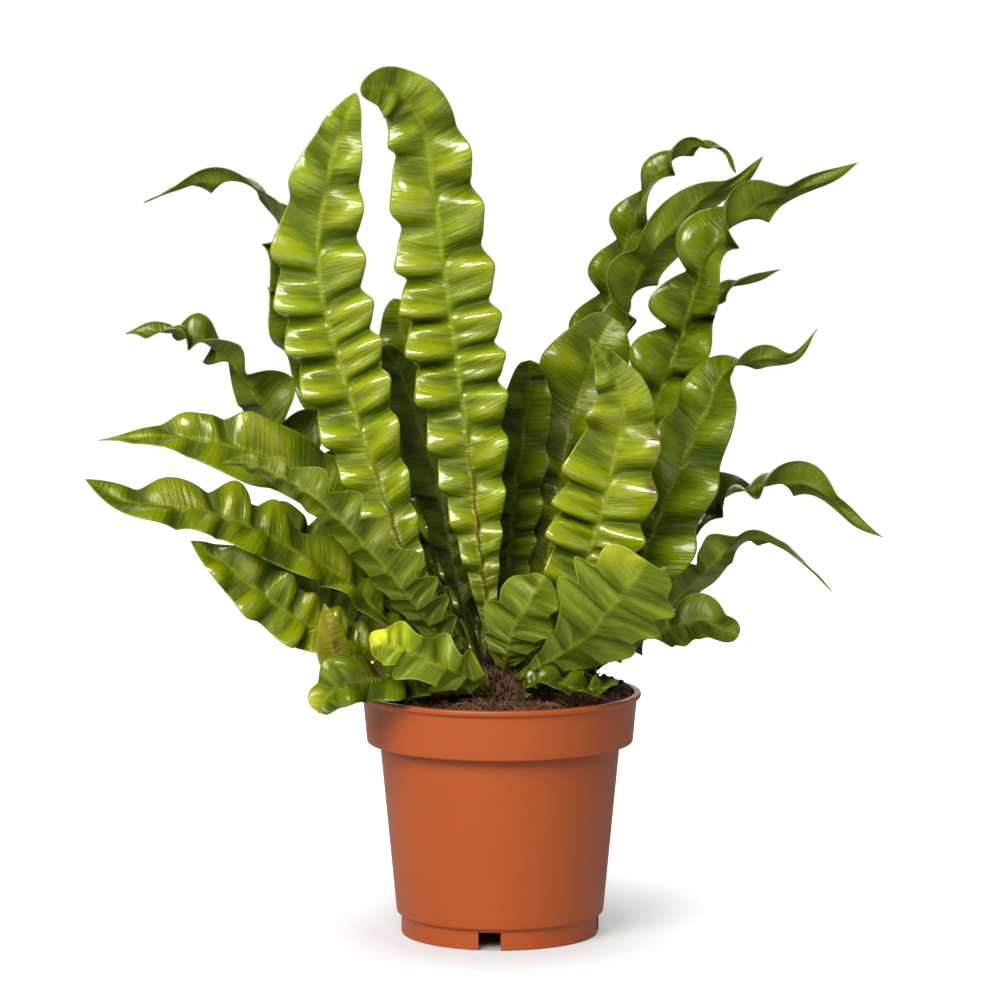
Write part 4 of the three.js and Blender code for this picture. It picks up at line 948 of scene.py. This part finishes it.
mixed = add_sum(tree, "ADD", add_product(tree, veins, PATTERN_AND_PAINTED_SHADE["veins"]),
                add_product(tree, folds, PATTERN_AND_PAINTED_SHADE["folds"]))
mixed = add_sum(tree, "ADD", mixed, add_product(tree, blotches, PATTERN_AND_PAINTED_SHADE["blotches"]))
# Painted light and shade: darker in the pleats' valleys, lighter on their crests.
mixed = add_sum(tree, "ADD", mixed, add_product(tree, pleat, PATTERN_AND_PAINTED_SHADE["pleat"]))
light_share = add_range(tree, mixed, *LIGHT_STRETCH)
upper = add_blend(tree, light_share, given.outputs["Upper Dark"], given.outputs["Upper Light"])
lower = add_blend(tree, light_share, given.outputs["Under Dark"], given.outputs["Under Light"])
leaf = add_blend(tree, under, upper, lower)
rib_mask = add_product(tree, add_range(tree, from_rib, *RIB_LINE), RIB_STRENGTH)
leaf = add_blend(tree, rib_mask, leaf, given.outputs["Rib"])
edge_mask = add_product(tree, add_range(tree, read_mark(tree, "to_edge"), *EDGE_LINE), EDGE_STRENGTH)
leaf = add_blend(tree, edge_mask, leaf, given.outputs["Rib"])
base_line = add_product(tree, add_range(tree, from_rib, *BASE_LINE), read_mark(tree, "base"))
base_line = add_product(tree, base_line, add_range(tree, along, *BASE_LINE_END))
leaf = add_blend(tree, base_line, leaf, BROWN)
flecks = add_product(tree, read_mark(tree, "brown"), add_range(tree, blotches, *FLECK_STRETCH))
leaf = add_blend(tree, flecks, leaf, BROWN)
leaf = add_blend(tree, add_product(tree, read_mark(tree, "yellow"), GLOW_STRENGTH), leaf, YELLOW)
# The frond's shade is partly its own tone and partly painted light and shade.
leaf = add_blend(tree, 1.0, leaf, tone_and_painted_light, "MULTIPLY")
# Painted shade: darker towards the root.
leaf = add_blend(tree, 1.0, leaf, add_range(tree, along, *PAINTED_ROOT_SHADE), "MULTIPLY")
tree.links.new(leaf, given_out.inputs["Color"])

gloss = add_range(tree, folds, *FOLD_ROUGHNESS)
gloss = add_sum(tree, "ADD", gloss, add_range(tree, pleat, *VALLEY_ROUGHNESS))
gloss = add_sum(tree, "ADD", gloss, add_product(tree, under, UNDER_ROUGHNESS))
tree.links.new(gloss, given_out.inputs["Roughness"])
wax = add_product(tree, add_range(tree, pleat, *WAX_ON_CRESTS), add_range(tree, folds, *WAX_ON_FOLDS))
wax = add_product(tree, wax, add_range(tree, under, *WAX_UNDER))
wax = add_product(tree, wax, add_range(tree, tone_and_painted_light, *WAX_FADE))
tree.links.new(wax, given_out.inputs["Coat"])
height = add_sum(tree, "ADD", add_product(tree, veins, VEIN_HEIGHT), folds)
height = add_sum(tree, "ADD", height, add_product(tree, pore_node.outputs["Fac"], PORE_HEIGHT))
tree.links.new(height, given_out.inputs["Height"])

leaf_materials = {}
for slot, colours in LEAF_COLOURS.items():
    leaf_material, tree, shader = new_material(slot.replace("frond", "leaf"), Subsurface_Weight=0.10,
                                               Subsurface_Scale=0.002, Specular_IOR_Level=SHEEN[slot],
                                               Specular_Tint=(1.0, 0.97, 0.45, 1), Coat_Roughness=0.15,
                                               Coat_IOR=WAX_IOR[slot])
    shader.inputs["Subsurface Radius"].default_value = (0.6, 1.0, 0.1)
    skin = add_node(tree, "ShaderNodeGroup", node_tree=leaf_group)
    for socket, colour in zip(skin.inputs, colours):
        socket.default_value = colour
    tree.links.new(skin.outputs["Color"], shader.inputs["Base Color"])
    tree.links.new(skin.outputs["Roughness"], shader.inputs["Roughness"])
    tree.links.new(skin.outputs["Coat"], shader.inputs["Coat Weight"])
    bump = add_node(tree, "ShaderNodeBump", {"Strength": 0.9, "Distance": 0.0010})
    tree.links.new(skin.outputs["Height"], bump.inputs["Height"])
    tree.links.new(bump.outputs["Normal"], shader.inputs["Normal"])
    leaf_materials[slot] = leaf_material

frond_rows = [dict(given_row, ring=ring) for ring, group in FRONDS.items() for given_row in group]
for number, given_row in enumerate(frond_rows):
    row = {**FROND_DEFAULTS, **given_row, "seed": SEED_STEP * number}
    blade = make_frond(row)
    blade.data.materials.append(leaf_materials[row["slot"]])
    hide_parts(row["name"])
    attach(blade, "root")


# ---------------------------------------------------------------- floor and light
# A white sweep under white studio light: a big soft lamp high at the front left, a small one at
# the front, weaker ones at the right and behind, and a little even light all round.

FLOOR_SIZE = 5.0
FLOOR_DARK = (0.56, 0.56, 0.56, 1)
FLOOR_LIGHT = (0.59, 0.59, 0.59, 1)
WORLD_STRENGTH = 0.10
BACKDROP_STRENGTH = 1.0
# The floor's glow close to the pot and the stretch over which it rises to full white: a painted shadow
# round the foot.
FLOOR_GLOW_IN_PAINTED_SHADOW = 0.30
PAINTED_FLOOR_SHADOW = (0.060, 0.20)
LAMPS = (
    dict(name="key", place=(-0.95, -1.7, 1.5), size=1.3, power=60),
    dict(name="front", place=(0.05, -2.1, 1.5), size=0.6, power=15),
    dict(name="fill", place=(1.7, -1.2, 0.9), size=1.0, power=2.5),
    dict(name="back", place=(0.1, 1.5, 1.1), size=1.8, power=14),
)

shape = bmesh.new()
bmesh.ops.create_grid(shape, x_segments=8, y_segments=8, size=FLOOR_SIZE)
floor = add_object("floor", to_mesh("floor", shape))
floor_paper, tree, shader = new_material("floor_paper", Roughness=0.9, Specular_IOR_Level=0.1,
                                         Emission_Color=(1, 1, 1, 1))
place = add_node(tree, "ShaderNodeTexCoord").outputs["Object"]
paper = add_node(tree, "ShaderNodeTexNoise", {"Scale": 30.0, "Detail": 2.0})
tree.links.new(place, paper.inputs["Vector"])
tree.links.new(add_colours(tree, paper.outputs["Fac"], FLOOR_DARK, FLOOR_LIGHT),
               shader.inputs["Base Color"])
# Where the camera sees it the floor glows white. The glow is weaker close round the pot, as a painted
# shadow there, and there is none under the pot's foot.
from_pot = add_node(tree, "ShaderNodeVectorMath", {1: POT_CENTRE}, operation="DISTANCE")
tree.links.new(place, from_pot.inputs[0])
glow = add_range(tree, from_pot.outputs["Value"], *PAINTED_FLOOR_SHADOW, FLOOR_GLOW_IN_PAINTED_SHADOW, 1.0)
past_foot = add_range(tree, from_pot.outputs["Value"], FOOT_RADIUS - 0.001, FOOT_RADIUS)
glow = add_product(tree, glow, past_foot)
seen = add_node(tree, "ShaderNodeLightPath").outputs["Is Camera Ray"]
tree.links.new(add_product(tree, glow, seen), shader.inputs["Emission Strength"])
floor.data.materials.append(floor_paper)

world = bpy.data.worlds.new("studio")
world.use_nodes = True
tree = world.node_tree
background = tree.nodes["Background"]
background.inputs["Color"].default_value = (1, 1, 1, 1)
seen = add_node(tree, "ShaderNodeLightPath").outputs["Is Camera Ray"]
strength = add_node(tree, "ShaderNodeMapRange", {"To Min": WORLD_STRENGTH, "To Max": BACKDROP_STRENGTH})
tree.links.new(seen, strength.inputs["Value"])
tree.links.new(strength.outputs["Result"], background.inputs["Strength"])
bpy.context.scene.world = world
bpy.context.scene.view_settings.view_transform = "Standard"

LIT_POINT = POT_CENTRE + Vector((0, 0, 0.22))
for lamp in LAMPS:
    lamp_data = bpy.data.lights.new(lamp["name"], "AREA")
    lamp_data.size = lamp["size"]
    lamp_data.energy = lamp["power"]
    lamp_object = bpy.data.objects.new(lamp["name"], lamp_data)
    lamp_object.location = POT_CENTRE + Vector(lamp["place"])
    lamp_object.visible_camera = False
    aim = LIT_POINT - lamp_object.location
    lamp_object.rotation_euler = aim.to_track_quat("-Z", "Y").to_euler()
    bpy.context.scene.collection.objects.link(lamp_object)
